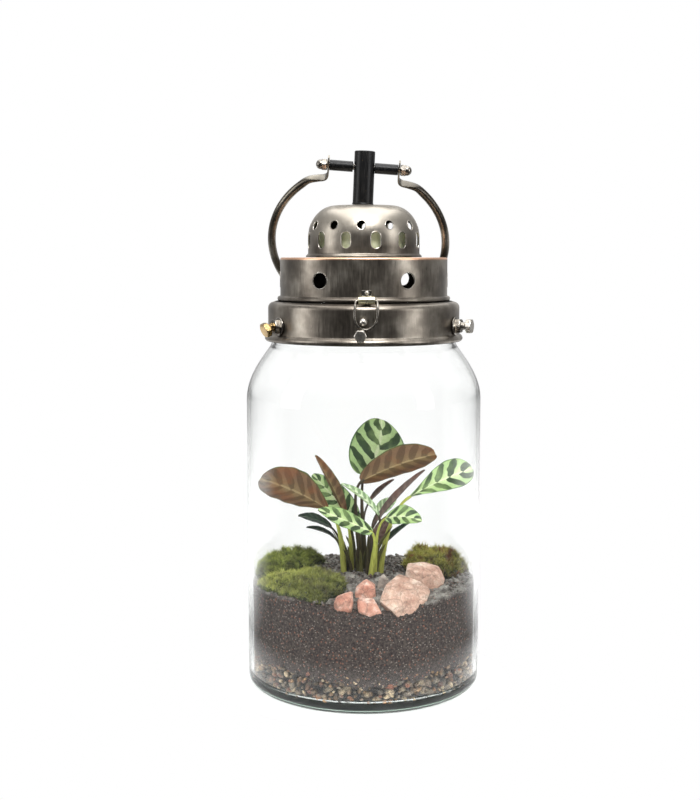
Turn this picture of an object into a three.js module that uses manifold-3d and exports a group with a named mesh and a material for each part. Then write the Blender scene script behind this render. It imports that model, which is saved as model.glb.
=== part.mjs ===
// A planted glass jar with a lantern-style metal lid, in millimetres, +Z up.
// The origin is the centre of the jar's flat base, and the latch faces -Y.
import * as THREE from "three";
import { ConvexGeometry } from "three/addons/geometries/ConvexGeometry.js";
import { mergeVertices } from "three/addons/utils/BufferGeometryUtils.js";
import Module from "manifold-3d";

const wasm = await Module();
wasm.setup();

// ---------------------------------------------------------------- driving dimensions
const GAP = 0.3; // running gap between touching pieces
const ROUND = 32; // sides of the turned pieces

// Glass jar
const JAR_R = 90;
const GLASS = 3; // wall thickness
const FLOOR = 7.7; // thickness of the base
const CORNER = 8; // radius of the bottom corner
const SHOULDER_Z = 222; // where the wall starts to curve in
const COLLAR_MEET = [71.5, 263.4]; // radius and height where the shoulder meets the collar
const NECK_R = 69.6;
const LIP_Z = 295.4;
const FILL_R = JAR_R - GLASS - 0.6; // radius of what fills the jar

// Collar, drum and dome of the lid
const COLLAR_R = 73.2;
const COLLAR_Z = 267;
const COLLAR_TOP = 297.4;
const SHEET = 1.4; // sheet thickness of collar and drum
const DRUM_R = 63.8;
const DRUM_Z = COLLAR_TOP + GAP;
const DRUM_TOP = 330.3;
const DRUM_MOUTH = 38; // opening in the drum's top plate, under the dome
const DRUM_HOLE = { r: 6, z: 313.6, azimuths: [-30, 30, 90, 150, 270] };
const DOME_R = 42.5;
const DOME_WALL_TOP = 345;
const DOME_BEND = 21;
const DOME_TOP = 369.5;
const DOME_SHEET = 1.2;
const DOME_HOLE = { r: 3.4, z: 354.1, count: 12, start: -2.5 };
const DOME_SLOT = { r: 3.8, half: 2.5, z: 343.1, count: 12, start: 12 };
const DIFFUSER = { r: 36, wall: 1.2, top: 349.6, hang: 7.4, rimR: 40.4, rimThick: 1 };

// Post, cross rod and carrying handle
const POST = { r: 7.8, top: 410.4, footX: -0.8, lean: 2.35 };
const ROD = { r: 2.5, half: 34, z: 398.1, roll: 4.3 }; // roll: the right end hangs lower
const SLEEVE = { r: 4, from: 8.3, to: 26 };
const TAB = { u: 26.9, thick: 1.2, half: 4.6, above: 7.3 };
const NUT_AF = 8;
const RING = { r: 68.9, drop: 69.5, tube: 3.1, back: 34.8 }; // back: rests leaning 34.8 degrees back

// Front latch
const LATCH_X = 2.1;
const BARREL = { y: -71.6, z: 300, r: 2.7, width: 12, bore: 1.35 };
const WIRE = 0.9;
const STUD = { x: -0.3, y: -78, z: 284.8, r: 2.8, neck: 1.4 };
const TONGUE = { width: 7, thick: 1.2, top: 307 };
const RIVET = { r: 1.9, high: 1.7, z: 305 };

// Hinge at the back, opposite the latch and on the same height
const HINGE = { knuckle: 6, ear: 6, bore: 1.6, pin: 1.3, head: 2.2, top: 309, plate: 1.6 };

// Set screws that clamp the collar to the jar's neck
const SCREW = { z: 279.6, shank: 3, af: 10, from: 70, head: 83, headThick: 4 };
const SIDE_SCREWS = [
  ["left", -58],
  ["right", 67.6],
  ["back_left", -128],
  ["back_right", 128],
]; // azimuths in degrees from the front, towards +X
const FRONT_AZIMUTH = -1.6;
const FRONT_SCREW = { z: 275.2, shank: 2.5, af: 8, from: 70, head: 81.6, headThick: 4 };
const BENT = { side: "left", knee: 79.6, angle: 24 }; // this screw's end is bent down
const NUT = { flange: 6.9, flangeThick: 1.4, body: 5.4 };

// Filling
const GRAVEL_TOP = 26.6;
const SOIL_Z = GRAVEL_TOP + GAP;
const STEM_FOOT = 71; // height where the petioles end in the soil

// ---------------------------------------------------------------- materials
const finish = (color, roughness, metalness = 0, extra = {}) =>
  new THREE.MeshStandardMaterial({ color, roughness, metalness, ...extra });
const MATERIAL = {
  glass: finish(0xe8f2ef, 0.05, 0, { transparent: true, opacity: 0.35 }),
  pewter: finish(0x6b6761, 0.42, 0.9),
  bright: finish(0x9a958c, 0.32, 0.95),
  brass: finish(0xcfc59a, 0.35, 0.9),
  black: finish(0x1b1b1c, 0.45),
  diffuser: finish(0xb9bd8c, 0.6),
  soil: finish(0x4d4542, 0.95),
  gravel: finish(0x8d7a66, 0.9),
  mossDark: finish(0x2e3a14, 1),
  mossBright: finish(0x6f8c2c, 1),
  stone: finish(0xc9a08c, 0.85),
  leaf: finish(0x7fae63, 0.5),
};

// ---------------------------------------------------------------- helpers
const rad = THREE.MathUtils.degToRad;
const v3 = (x, y, z) => new THREE.Vector3(x, y, z);

/** Repeatable random numbers from 0 to 1. */
function seeded(seed) {
  let state = seed >>> 0;
  return () => {
    state = (state + 0x6d2b79f5) >>> 0;
    let t = state;
    t = Math.imul(t ^ (t >>> 15), t | 1);
    t ^= t + Math.imul(t ^ (t >>> 7), t | 61);
    return ((t ^ (t >>> 14)) >>> 0) / 4294967296;
  };
}

/** A closed geometry as a solid that can be cut and joined. */
function solid(geometry) {
  const bare = geometry.clone();
  bare.deleteAttribute("normal");
  bare.deleteAttribute("uv");
  const merged = mergeVertices(bare, 1e-4);
  return new wasm.Manifold(
    new wasm.Mesh({
      numProp: 3,
      vertProperties: new Float32Array(merged.attributes.position.array),
      triVerts: new Uint32Array(merged.index.array),
    }),
  );
}

/** A solid back as a geometry. */
function geometryOf(body) {
  const made = body.getMesh();
  const geometry = new THREE.BufferGeometry();
  geometry.setAttribute("position", new THREE.BufferAttribute(made.vertProperties, 3));
  geometry.setIndex(new THREE.BufferAttribute(made.triVerts, 1));
  geometry.computeVertexNormals();
  return geometry;
}

const subtract = (left, tool) => left.subtract(solid(tool));
const cut = (base, tools) => geometryOf(tools.reduce(subtract, solid(base)));
const join = (...pieces) => geometryOf(pieces.map(solid).reduce((all, one) => all.add(one)));
const clip = (base, limit) => geometryOf(solid(base).intersect(solid(limit)));

/** A profile of [radius, height] points turned about +Z. */
function turned(profile, sides = ROUND) {
  const points = profile.map(([r, z]) => new THREE.Vector2(r, z));
  return new THREE.LatheGeometry(points, sides).rotateX(Math.PI / 2);
}

/** Points of an arc in a profile, from one angle to another, in degrees. */
function arc(r, z, radius, from, to, steps) {
  return Array.from({ length: steps + 1 }, (_, i) => {
    const a = rad(from + ((to - from) * i) / steps);
    return [r + radius * Math.cos(a), z + radius * Math.sin(a)];
  });
}

/** A cylinder along the local +Y of a group turned so that it points out of the lid at an azimuth. */
function radialBar(radius, from, to, sides = 12) {
  return new THREE.CylinderGeometry(radius, radius, to - from, sides).translate(0, -(from + to) / 2, 0);
}

/** Turns a piece built at the front (facing -Y) to an azimuth, in degrees towards +X. */
const toAzimuth = (geometry, azimuth, z = 0) => geometry.rotateZ(rad(azimuth)).translate(0, 0, z);

/** A closed skin over rings of points that all have the same count. */
function loft(rings, closed = false) {
  const n = rings[0].length;
  const index = [];
  const last = closed ? rings.length : rings.length - 1;
  for (let i = 0; i < last; i++) {
    for (let j = 0; j < n; j++) {
      const a = i * n + j;
      const b = i * n + ((j + 1) % n);
      const c = ((i + 1) % rings.length) * n + j;
      const d = ((i + 1) % rings.length) * n + ((j + 1) % n);
      index.push(a, b, d, a, d, c);
    }
  }
  if (!closed) {
    const end = (rings.length - 1) * n;
    for (let j = 1; j < n - 1; j++) {
      index.push(0, j + 1, j, end, end + j, end + j + 1);
    }
  }
  const geometry = new THREE.BufferGeometry();
  const flat = rings.flat().flatMap((p) => [p.x, p.y, p.z]);
  geometry.setAttribute("position", new THREE.Float32BufferAttribute(flat, 3));
  geometry.setIndex(index);
  return geometry;
}

/** A round tube along a curve. */
function tube(curve, radius, steps, sides, closed = false) {
  const frames = curve.computeFrenetFrames(steps, closed);
  const rings = [];
  for (let i = 0; i < (closed ? steps : steps + 1); i++) {
    const centre = curve.getPointAt(i / steps);
    rings.push(
      Array.from({ length: sides }, (_, j) => {
        const a = (2 * Math.PI * j) / sides;
        return centre
          .clone()
          .addScaledVector(frames.normals[i], radius * Math.cos(a))
          .addScaledVector(frames.binormals[i], radius * Math.sin(a));
      }),
    );
  }
  return loft(rings, closed);
}

const object = new THREE.Group();

/** Adds a named piece to a group of the object. */
function piece(name, geometry, material, parent = object) {
  const made = new THREE.Mesh(geometry, material);
  made.name = name;
  parent.add(made);
  return made;
}

// ---------------------------------------------------------------- glass jar
/** The jar's shoulder, from the straight wall to the collar. */
function shoulder(inset, steps) {
  const [r, z] = COLLAR_MEET;
  const curve = new THREE.CubicBezierCurve(
    new THREE.Vector2(JAR_R - inset, SHOULDER_Z),
    new THREE.Vector2(JAR_R - inset, SHOULDER_Z + 16),
    new THREE.Vector2(r + 9 - inset, z - 12.4),
    new THREE.Vector2(r - inset, z - inset * 0.3),
  );
  return curve.getPoints(steps).map((p) => [p.x, p.y]);
}

function jar() {
  const inner = CORNER - GLASS;
  return turned([
    [0, 0],
    ...arc(JAR_R - CORNER, CORNER, CORNER, -90, 0, 3),
    ...shoulder(0, 4),
    [NECK_R, 268],
    [NECK_R, LIP_Z - 6],
    [NECK_R + 1.3, LIP_Z - 3],
    [NECK_R + 0.6, LIP_Z],
    [NECK_R - GLASS + 0.4, LIP_Z],
    [NECK_R - GLASS, LIP_Z - 3],
    [NECK_R - GLASS, 267],
    ...shoulder(GLASS, 4).reverse(),
    ...arc(JAR_R - CORNER, FLOOR + inner, inner, 0, -90, 2),
    [0, FLOOR],
  ]);
}

// ---------------------------------------------------------------- lid
function collar() {
  const inner = COLLAR_R - SHEET;
  const ring = turned([
    [inner, COLLAR_Z + 0.6],
    [COLLAR_R + 1.6, COLLAR_Z],
    [COLLAR_R + 2.9, COLLAR_Z + 2.4],
    [COLLAR_R + 1.6, COLLAR_Z + 4.8],
    [COLLAR_R, COLLAR_Z + 5.4],
    [COLLAR_R, COLLAR_TOP - 3.8],
    [COLLAR_R - 1.6, COLLAR_TOP - 1.4],
    [COLLAR_R - 6, COLLAR_TOP],
    [DRUM_R - SHEET - 1.4, COLLAR_TOP],
    [DRUM_R - SHEET - 1.4, COLLAR_TOP - SHEET],
    [inner - 2, COLLAR_TOP - SHEET],
    [inner, COLLAR_TOP - 4],
    [inner, COLLAR_Z + 0.6],
  ]);
  const hole = (screw, azimuth) =>
    toAzimuth(radialBar(screw.shank + GAP, inner - 3, COLLAR_R + 6), azimuth, screw.z);
  const sideHoles = SIDE_SCREWS.map(([, azimuth]) => hole(SCREW, azimuth));
  return cut(ring, [...sideHoles, hole(FRONT_SCREW, FRONT_AZIMUTH)]);
}

function drum() {
  const inner = DRUM_R - SHEET;
  const shell = turned([
    [inner, DRUM_Z],
    [DRUM_R + 1.7, DRUM_Z],
    [DRUM_R + 2.4, DRUM_Z + 1.6],
    [DRUM_R + 1.7, DRUM_Z + 3.2],
    [DRUM_R, DRUM_Z + 3.6],
    [DRUM_R, DRUM_TOP - 0.8],
    [DRUM_R - 0.8, DRUM_TOP],
    [DRUM_MOUTH, DRUM_TOP],
    [DRUM_MOUTH, DRUM_TOP - SHEET],
    [inner, DRUM_TOP - SHEET],
    [inner, DRUM_Z],
  ]);
  const holes = DRUM_HOLE.azimuths.map((azimuth) =>
    toAzimuth(radialBar(DRUM_HOLE.r, inner - 4, DRUM_R + 4), azimuth, DRUM_HOLE.z),
  );
  return cut(shell, holes);
}

/** An upright slot with round ends, cut through the dome's wall at the front. */
function slotCutter() {
  const { r, half } = DOME_SLOT;
  const outline = new THREE.Shape();
  outline.absarc(0, half, r, 0, Math.PI, false);
  outline.absarc(0, -half, r, Math.PI, 2 * Math.PI, false);
  return new THREE.ExtrudeGeometry(outline, { depth: 8, bevelEnabled: false, curveSegments: 2 })
    .rotateX(Math.PI / 2)
    .translate(0, -DOME_R + 4, 0);
}

/** The dome's shoulder as a quarter of an ellipse from its wall to its top, moved in by a sheet's thickness. */
function domeShoulder(inset) {
  const across = DOME_BEND - inset;
  const up = DOME_TOP - DOME_WALL_TOP - inset;
  const steps = 5;
  return Array.from({ length: steps + 1 }, (_, i) => {
    const a = rad((90 * i) / steps);
    return [DOME_R - DOME_BEND + across * Math.cos(a), DOME_WALL_TOP + up * Math.sin(a)];
  });
}

function dome() {
  const foot = DRUM_TOP + GAP;
  const shell = turned(
    [
      [DOME_R - DOME_SHEET, foot],
      [DOME_R + 1.7, foot],
      [DOME_R + 1.7, foot + 1],
      [DOME_R, foot + 2.6],
      ...domeShoulder(0),
      [0, DOME_TOP],
      [0, DOME_TOP - DOME_SHEET],
      ...domeShoulder(DOME_SHEET).reverse(),
      [DOME_R - DOME_SHEET, foot],
    ],
    24,
  );
  const around = ({ count, start }) => Array.from({ length: count }, (_, i) => start + (360 * i) / count);
  const holes = around(DOME_HOLE).map((azimuth) =>
    toAzimuth(radialBar(DOME_HOLE.r, DOME_R - 7, DOME_R + 3, 6), azimuth, DOME_HOLE.z),
  );
  const slots = around(DOME_SLOT).map((azimuth) => toAzimuth(slotCutter(), azimuth, DOME_SLOT.z));
  return cut(shell, [...holes, ...slots]);
}

/** The frosted cup inside the dome, seen through its slots, with a rim that rests on the drum's top plate. */
function diffuser() {
  const { r, wall, top, hang, rimR, rimThick } = DIFFUSER;
  const foot = DRUM_TOP - hang;
  const seat = DRUM_TOP + GAP;
  return turned(
    [
      [r - wall, foot],
      [r, foot],
      [r, seat],
      [rimR, seat],
      [rimR, seat + rimThick],
      [r, seat + rimThick],
      [r, top],
      [0, top],
      [0, top - wall],
      [r - wall, top - wall],
      [r - wall, foot],
    ],
    24,
  );
}

// ---------------------------------------------------------------- post, rod and handle
function post() {
  const foot = DOME_TOP + GAP + POST.r * Math.sin(rad(POST.lean));
  const length = POST.top - foot;
  const bar = new THREE.CylinderGeometry(POST.r, POST.r, length, 20)
    .rotateX(Math.PI / 2)
    .translate(0, 0, length / 2)
    .rotateY(rad(POST.lean))
    .translate(POST.footX, 0, foot);
  const hole = alongRod(new THREE.CylinderGeometry(ROD.r + GAP, ROD.r + GAP, 24, 12));
  return cut(bar, [hole]);
}

/** Puts a piece built along +Y about the origin onto the rod: +Y becomes the rod's own +X. */
const alongRod = (geometry, at = 0) =>
  geometry.rotateZ(-Math.PI / 2).translate(at, 0, 0).rotateY(rad(ROD.roll)).translate(0, 0, ROD.z);

function sleeve(side) {
  const { r, from, to } = SLEEVE;
  const bore = ROD.r + GAP;
  const profile = [
    [bore, -(to - from) / 2],
    [r, -(to - from) / 2],
    [r, (to - from) / 2],
    [bore, (to - from) / 2],
    [bore, -(to - from) / 2],
  ];
  const points = profile.map(([x, y]) => new THREE.Vector2(x, y));
  return alongRod(new THREE.LatheGeometry(points, 14), (side * (from + to)) / 2);
}

/** A domed cap nut, closed at its outer end, with a blind bore over the end of the rod. */
function capNut(side) {
  const start = TAB.u + TAB.thick / 2 + GAP;
  const hexEnd = start + 4.2;
  const corner = NUT_AF / Math.sqrt(3);
  const hex = new THREE.CylinderGeometry(corner, corner, hexEnd - start, 6);
  hex.translate(0, (start + hexEnd) / 2, 0);
  const cap = new THREE.SphereGeometry(3.7, 10, 8).translate(0, hexEnd + 0.7, 0);
  const bore = new THREE.CylinderGeometry(ROD.r + GAP, ROD.r + GAP, ROD.half + GAP - start + 1, 12);
  bore.translate(0, (start - 1 + ROD.half + GAP) / 2, 0);
  const nut = cut(join(hex, cap), [bore]);
  return alongRod(side < 0 ? nut.rotateZ(Math.PI) : nut);
}

/** Half of the handle's centre line, as [across, down] from the rod, from a tab's top to the ring's bottom. */
function handleHalf() {
  const { r, drop } = RING;
  const line = [
    [TAB.u, -TAB.above],
    [TAB.u, 0],
    [TAB.u, 7.6],
    [TAB.u + 1.2, 10.3],
    [TAB.u + 3.8, 11.6],
    [TAB.u + 7.6, 13.1],
  ];
  const ring = Array.from({ length: 12 }, (_, i) => {
    const a = rad(40 + (140 * i) / 11);
    return [r * Math.sin(a), drop - r * Math.cos(a)];
  });
  return [...line, ...ring];
}

/** Half width and half thickness of the handle at each point of its line: flat tab, then round tube. */
function handleSection(step) {
  const flat = [TAB.half, TAB.thick / 2];
  const round = [RING.tube, RING.tube];
  const mix = THREE.MathUtils.clamp((step - 3) / 3, 0, 1);
  return flat.map((size, i) => THREE.MathUtils.lerp(size, round[i], mix));
}

function handle() {
  const half = handleHalf();
  const mirrored = half.slice(0, -1).map(([u, v]) => [-u, v]);
  const line = [...mirrored, ...half.slice().reverse()];
  const sides = 8;
  const rings = line.map(([u, v], i) => {
    const [u0, v0] = line[Math.max(i - 1, 0)];
    const [u1, v1] = line[Math.min(i + 1, line.length - 1)];
    const length = Math.hypot(u1 - u0, v1 - v0);
    const normal = [-(v1 - v0) / length, (u1 - u0) / length];
    const [wide, thick] = handleSection(Math.min(i, line.length - 1 - i));
    return Array.from({ length: sides }, (_, j) => {
      const a = (2 * Math.PI * (j + 0.5)) / sides;
      const along = thick * Math.cos(a);
      return v3(u + normal[0] * along, wide * Math.sin(a), -(v + normal[1] * along));
    });
  });
  const bore = new THREE.CylinderGeometry(ROD.r + GAP, ROD.r + GAP, 6, 12).rotateZ(Math.PI / 2);
  const bores = [-1, 1].map((side) => bore.clone().translate(side * TAB.u, 0, 0));
  return cut(loft(rings), bores)
    .rotateX(rad(RING.back))
    .rotateY(rad(ROD.roll))
    .translate(0, 0, ROD.z);
}

// ---------------------------------------------------------------- latch and hinge
/** A cylinder across the lid on the line that the latch's barrel and the hinge's knuckles share. */
function barrelBar(radius, length, at = 0, sides = 14) {
  return new THREE.CylinderGeometry(radius, radius, length, sides)
    .rotateZ(Math.PI / 2)
    .translate(at, BARREL.y, BARREL.z);
}

function latchPlate() {
  const bore = barrelBar(BARREL.bore, 2 * BARREL.width, 0, 12);
  return cut(strapWithBarrel(BARREL.width, TONGUE.width, TONGUE.top), [bore]).translate(LATCH_X, 0, 0);
}

/** A barrel on a strip, whose side outline, in distance from the axis and height, is drawn out along X. */
function strapWithBarrel(width, tongueWidth, top) {
  const back = DRUM_R + GAP;
  const front = back + TONGUE.thick;
  const low = DRUM_Z + 3.2 + GAP;
  const side = new THREE.Shape([
    new THREE.Vector2(back, low + 0.6),
    new THREE.Vector2(back + 2.6, low),
    new THREE.Vector2(-BARREL.y, low - 0.8),
    new THREE.Vector2(-BARREL.y, low + 1),
    new THREE.Vector2(front + 1, low + 1.2),
    new THREE.Vector2(front, low + 1.6),
    new THREE.Vector2(front, top),
    new THREE.Vector2(back, top),
  ]);
  const strip = new THREE.ExtrudeGeometry(side, { depth: tongueWidth, bevelEnabled: false })
    .translate(0, 0, -tongueWidth / 2)
    .rotateX(Math.PI / 2)
    .rotateZ(-Math.PI / 2);
  return join(strip, barrelBar(BARREL.r, width));
}

/** A round-headed rivet whose head stands on the latch's tongue. */
function latchRivet() {
  const { r, high, z } = RIVET;
  const seat = DRUM_R + 2 * GAP + TONGUE.thick;
  return turned([[0, 0], [r, 0], [0.95 * r, 0.4 * high], [0.6 * r, 0.8 * high], [0, high]], 12)
    .rotateX(Math.PI / 2)
    .translate(LATCH_X + 0.2, -seat, z);
}

/** The wire loop, closed through the barrel, out over the collar's shoulder and under the stud. */
function latchLoop() {
  const side = (x, y, z) => v3(LATCH_X + x, BARREL.y - y, BARREL.z - z);
  const route = [
    side(0, 0, 0),
    side(-5.4, 0, 0),
    side(-7.6, 0.5, 0.8),
    side(-8.3, 3.3, 5),
    side(-8.5, 4.1, 11),
    side(-7.4, 4.8, 16.2),
    side(-3.8, 5.3, 19.8),
    side(-0.8, 5.4, 20.6),
    side(2.6, 5.3, 19.8),
    side(6.2, 4.8, 16.2),
    side(7.6, 4.1, 11),
    side(7.9, 3.3, 5),
    side(7.4, 0.5, 0.8),
    side(5.4, 0, 0),
  ];
  return tube(new THREE.CatmullRomCurve3(route, true, "centripetal"), WIRE, 32, 6, true);
}

/** The ball-headed stud under which the loop hooks. */
function latchStud() {
  const ball = new THREE.SphereGeometry(STUD.r, 12, 8).translate(STUD.x, STUD.y, STUD.z);
  const neck = radialBar(STUD.neck, COLLAR_R + GAP, -STUD.y, 10).translate(STUD.x, 0, STUD.z);
  return join(ball, neck);
}

function hingeDrumLeaf() {
  const bore = barrelBar(HINGE.bore, 2 * HINGE.knuckle, 0, 12);
  return cut(strapWithBarrel(HINGE.knuckle, HINGE.knuckle, HINGE.top), [bore]).rotateZ(Math.PI);
}

/** The collar's leaf: a plate on its wall with two ears that hold the pin. */
function hingeCollarLeaf() {
  const { knuckle, ear, plate: thick } = HINGE;
  const centre = -COLLAR_R - GAP - thick / 2;
  const earAt = (knuckle + ear) / 2 + GAP;
  const width = 2 * earAt + ear;
  const plate = new THREE.BoxGeometry(width, thick, 6).translate(0, centre, BARREL.z - 8.8);
  const ears = [-1, 1].flatMap((side) => [
    barrelBar(BARREL.r, ear, side * earAt),
    new THREE.BoxGeometry(ear, thick, 9).translate(side * earAt, centre, BARREL.z - 3.5),
  ]);
  return cut(join(plate, ...ears), [barrelBar(HINGE.bore, 2 * width, 0, 12)]).rotateZ(Math.PI);
}

function hingePin() {
  const { knuckle, ear, pin, head } = HINGE;
  const half = knuckle / 2 + GAP + ear;
  const thick = 1;
  const heads = [-1, 1].map((side) => barrelBar(head, thick, side * (half + GAP + thick / 2), 12));
  return join(barrelBar(pin, 2 * (half + GAP + thick / 2), 0, 12), ...heads).rotateZ(Math.PI);
}

// ---------------------------------------------------------------- set screws
/** A hexagonal prism along the front-facing radial direction. */
function hexBar(acrossFlats, from, to) {
  const corner = acrossFlats / Math.sqrt(3);
  return new THREE.CylinderGeometry(corner, corner, to - from, 6).translate(0, -(from + to) / 2, 0);
}

/** A screw whose part beyond the knee is turned down by an angle, in degrees. */
function setScrew(screw, azimuth, bend = 0) {
  const { knee } = BENT;
  const shank = radialBar(screw.shank, screw.from, knee);
  const end = radialBar(screw.shank, knee - 0.6, screw.head + 1);
  const head = hexBar(screw.af, screw.head, screw.head + screw.headThick);
  const outer = join(end, head).translate(0, knee, 0).rotateX(rad(bend)).translate(0, -knee, 0);
  return toAzimuth(join(shank, outer), azimuth, screw.z);
}

function flangeNut(azimuth) {
  const seat = COLLAR_R + GAP;
  const flange = radialBar(NUT.flange, seat, seat + NUT.flangeThick, 16);
  const body = hexBar(SCREW.af, seat + 0.2, seat + NUT.body);
  const bore = radialBar(SCREW.shank + GAP, seat - 2, seat + NUT.body + 2);
  return toAzimuth(cut(join(flange, body), [bore]), azimuth, SCREW.z);
}

// ---------------------------------------------------------------- gravel, soil, moss and stones
/** Height of the soil's surface: it falls to the back, rises to the crown and dips under the front stones. */
function ground(x, y) {
  const hill = (cx, cy, spread, height) =>
    height * Math.exp(-((x - cx) ** 2 + (y - cy) ** 2) / (2 * spread * spread));
  const crumbs = 0.5 * Math.sin(0.31 * x + 1.3) * Math.cos(0.27 * y) + 0.4 * Math.sin(0.17 * x - 0.23 * y);
  const dips = hill(-12, -84, 17, -10) + hill(26, -84, 17, -13);
  return 81.5 + 0.01 * x - 0.031 * y + hill(-2, 0, 30, 5) + dips + crumbs;
}

/** A disc with an uneven top, closed below at a flat height. */
function mound(radius, bottom, height, around, rings) {
  const at = (i, j, z) => {
    const a = (2 * Math.PI * j) / around;
    const r = (radius * i) / rings;
    const [x, y] = [r * Math.cos(a), r * Math.sin(a)];
    return [x, y, z ?? height(x, y)];
  };
  const points = [at(0, 0)];
  for (let i = 1; i <= rings; i++) {
    for (let j = 0; j < around; j++) points.push(at(i, j));
  }
  for (let j = 0; j < around; j++) points.push(at(rings, j, bottom));
  points.push(at(0, 0, bottom));
  const index = [];
  const id = (i, j) => 1 + (i - 1) * around + (j % around);
  for (let j = 0; j < around; j++) {
    index.push(0, id(1, j), id(1, j + 1));
    for (let i = 1; i <= rings; i++) {
      index.push(id(i, j), id(i + 1, j), id(i + 1, j + 1), id(i, j), id(i + 1, j + 1), id(i, j + 1));
    }
    index.push(points.length - 1, id(rings + 1, j + 1), id(rings + 1, j));
  }
  const geometry = new THREE.BufferGeometry();
  geometry.setAttribute("position", new THREE.Float32BufferAttribute(points.flat(), 3));
  geometry.setIndex(index);
  return geometry;
}

/** The drainage layer: a core with crushed pebbles fused all round its side. */
function gravel() {
  const random = seeded(7);
  const foot = FLOOR + GAP;
  const core = mound(FILL_R - 2.4, foot, () => GRAVEL_TOP - 3, 24, 1);
  const pebbles = [];
  const [rows, perRow] = [3, 14];
  for (let row = 0; row < rows; row++) {
    for (let i = 0; i < perRow; i++) {
      const size = 5 + 2 * random();
      const azimuth = (2 * Math.PI * (i + row / 2 + 0.4 * random())) / perRow;
      const r = FILL_R - 0.85 * size;
      pebbles.push(
        new THREE.OctahedronGeometry(size)
          .rotateX(6 * random())
          .rotateZ(6 * random())
          .scale(1, 1, 0.75)
          .translate(r * Math.cos(azimuth), r * Math.sin(azimuth), foot + 4.2 + 5.2 * row),
      );
    }
  }
  const side = [[FILL_R - 5, foot], [FILL_R, foot + 6], [FILL_R, GRAVEL_TOP]];
  return clip(join(core, ...pebbles), turned([[0, foot], ...side, [0, GRAVEL_TOP]]));
}

const MOSS_SUNK = 2.5;
const MOSS_POCKET_TOP = 21;

// Moss cushions: centre, half sizes, height over the soil, turn in degrees.
const MOSSES = [
  {
    name: "moss_bright", x: -47, y: -38, rx: 32, ry: 35, height: 5.5,
    turn: 8, seed: 3, material: "mossBright",
  },
  {
    name: "moss_dark", x: -61, y: 27, rx: 37, ry: 20, height: 11,
    turn: 60, seed: 5, material: "mossDark",
  },
  {
    name: "moss_right", x: 57, y: 15, rx: 24, ry: 29, height: 15,
    turn: 10, seed: 9, material: "mossDark",
  },
];

/**
 * A moss cushion: its top bulges and is raised in tufts, and its underside is sunk a little into the soil.
 * With grow it is the pocket that holds the cushion, open upwards.
 */
function cushion({ x, y, rx, ry, height, turn, seed }, grow = 0) {
  const around = 18;
  const rings = 5;
  const random = seeded(seed);
  const tuft = Array.from({ length: (rings + 1) * around + 1 }, () => random());
  const [c, s] = [Math.cos(rad(turn)), Math.sin(rad(turn))];
  const at = (i, j, top) => {
    const a = (2 * Math.PI * j) / around;
    const share = i / rings;
    const [u, v] = [(rx + grow) * share * Math.cos(a), (ry + grow) * share * Math.sin(a)];
    const [px, py] = [x + c * u - s * v, y + s * u + c * v];
    const tufts = 2.4 * (1 - share ** 6) * (tuft[i * around + (j % around)] - 0.4);
    const bulge = height * (1 - share ** 2.4) ** 0.6 + tufts;
    const rim = grow ? MOSS_POCKET_TOP : 1;
    const z = top ? Math.max(bulge, 0) + rim : -MOSS_SUNK - 1.8 * grow;
    return v3(px, py, ground(px, py) + z);
  };
  const ringOf = (i, top) => Array.from({ length: around }, (_, j) => at(i, j, top));
  const skins = [ringOf(rings, false)];
  for (let i = rings; i >= 1; i--) skins.push(ringOf(i, true));
  const shape = fanned(skins, at(0, 0, false), at(0, 0, true));
  return grow ? shape : clip(shape, FILL_LIMIT);
}

/** A loft whose two ends close on a point each. */
function fanned(rings, first, last) {
  const n = rings[0].length;
  const flat = rings.flat();
  const index = [];
  for (let i = 0; i < rings.length - 1; i++) {
    for (let j = 0; j < n; j++) {
      const [a, b] = [i * n + j, i * n + ((j + 1) % n)];
      index.push(a, b, b + n, a, b + n, a + n);
    }
  }
  for (let j = 0; j < n; j++) {
    index.push(flat.length, (j + 1) % n, j);
    const end = (rings.length - 1) * n;
    index.push(flat.length + 1, end + j, end + ((j + 1) % n));
  }
  const geometry = new THREE.BufferGeometry();
  const points = [...flat, first, last].flatMap((p) => [p.x, p.y, p.z]);
  geometry.setAttribute("position", new THREE.Float32BufferAttribute(points, 3));
  geometry.setIndex(index);
  return geometry;
}

const FILL_LIMIT = turned([[0, SOIL_Z], [FILL_R, SOIL_Z], [FILL_R, 140], [0, 140]]);

// Broken granite pieces, by their corners.
const STONES = {
  stone_large: [
    [17.5, -80, 70], [35, -78, 68.5], [45, -71, 75], [48, -66, 84], [33, -67, 90], [10, -66.5, 83],
    [21, -50, 95.5], [31, -50, 96], [42, -50, 91.5], [50, -52, 84], [46, -50, 72], [17, -50, 72],
  ],
  stone_upper: [
    [30.5, -42, 87], [36, -43, 80], [50, -45, 78], [60, -41, 86], [56, -42, 93], [33, -44, 97],
    [32, -25, 98], [44, -25, 101], [55, -25, 98], [62, -27, 90], [58, -27, 78], [34, -27, 80],
  ],
  stone_left: [
    [-21, -76, 73], [-9, -78, 74], [-7.6, -76, 83], [-15, -76, 86], [-21.5, -73, 80],
    [-19, -63, 83], [-8, -63, 87], [-7.2, -63, 74], [-19, -63, 73],
  ],
  stone_middle: [
    [-7, -60, 76], [8, -61, 76], [9.5, -58, 87], [3, -58, 91], [-5.5, -58, 87],
    [-5, -48, 86], [2, -48, 92.5], [8, -48, 89], [9, -49, 76], [-5, -48, 76],
  ],
  stone_wedge: [
    [-4.5, -79, 75], [-4, -74, 83], [8.5, -73.5, 84], [15.5, -79.5, 70], [13, -81, 67],
    [-4, -65, 81], [4, -65, 82], [4, -65, 71], [-4, -65, 73],
  ],
  stone_grey: [
    [10, -44, 80], [19, -44, 80], [20, -42, 89], [12, -42, 91], [15, -35, 93], [10, -34, 82], [19, -34, 82],
  ],
};

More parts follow.
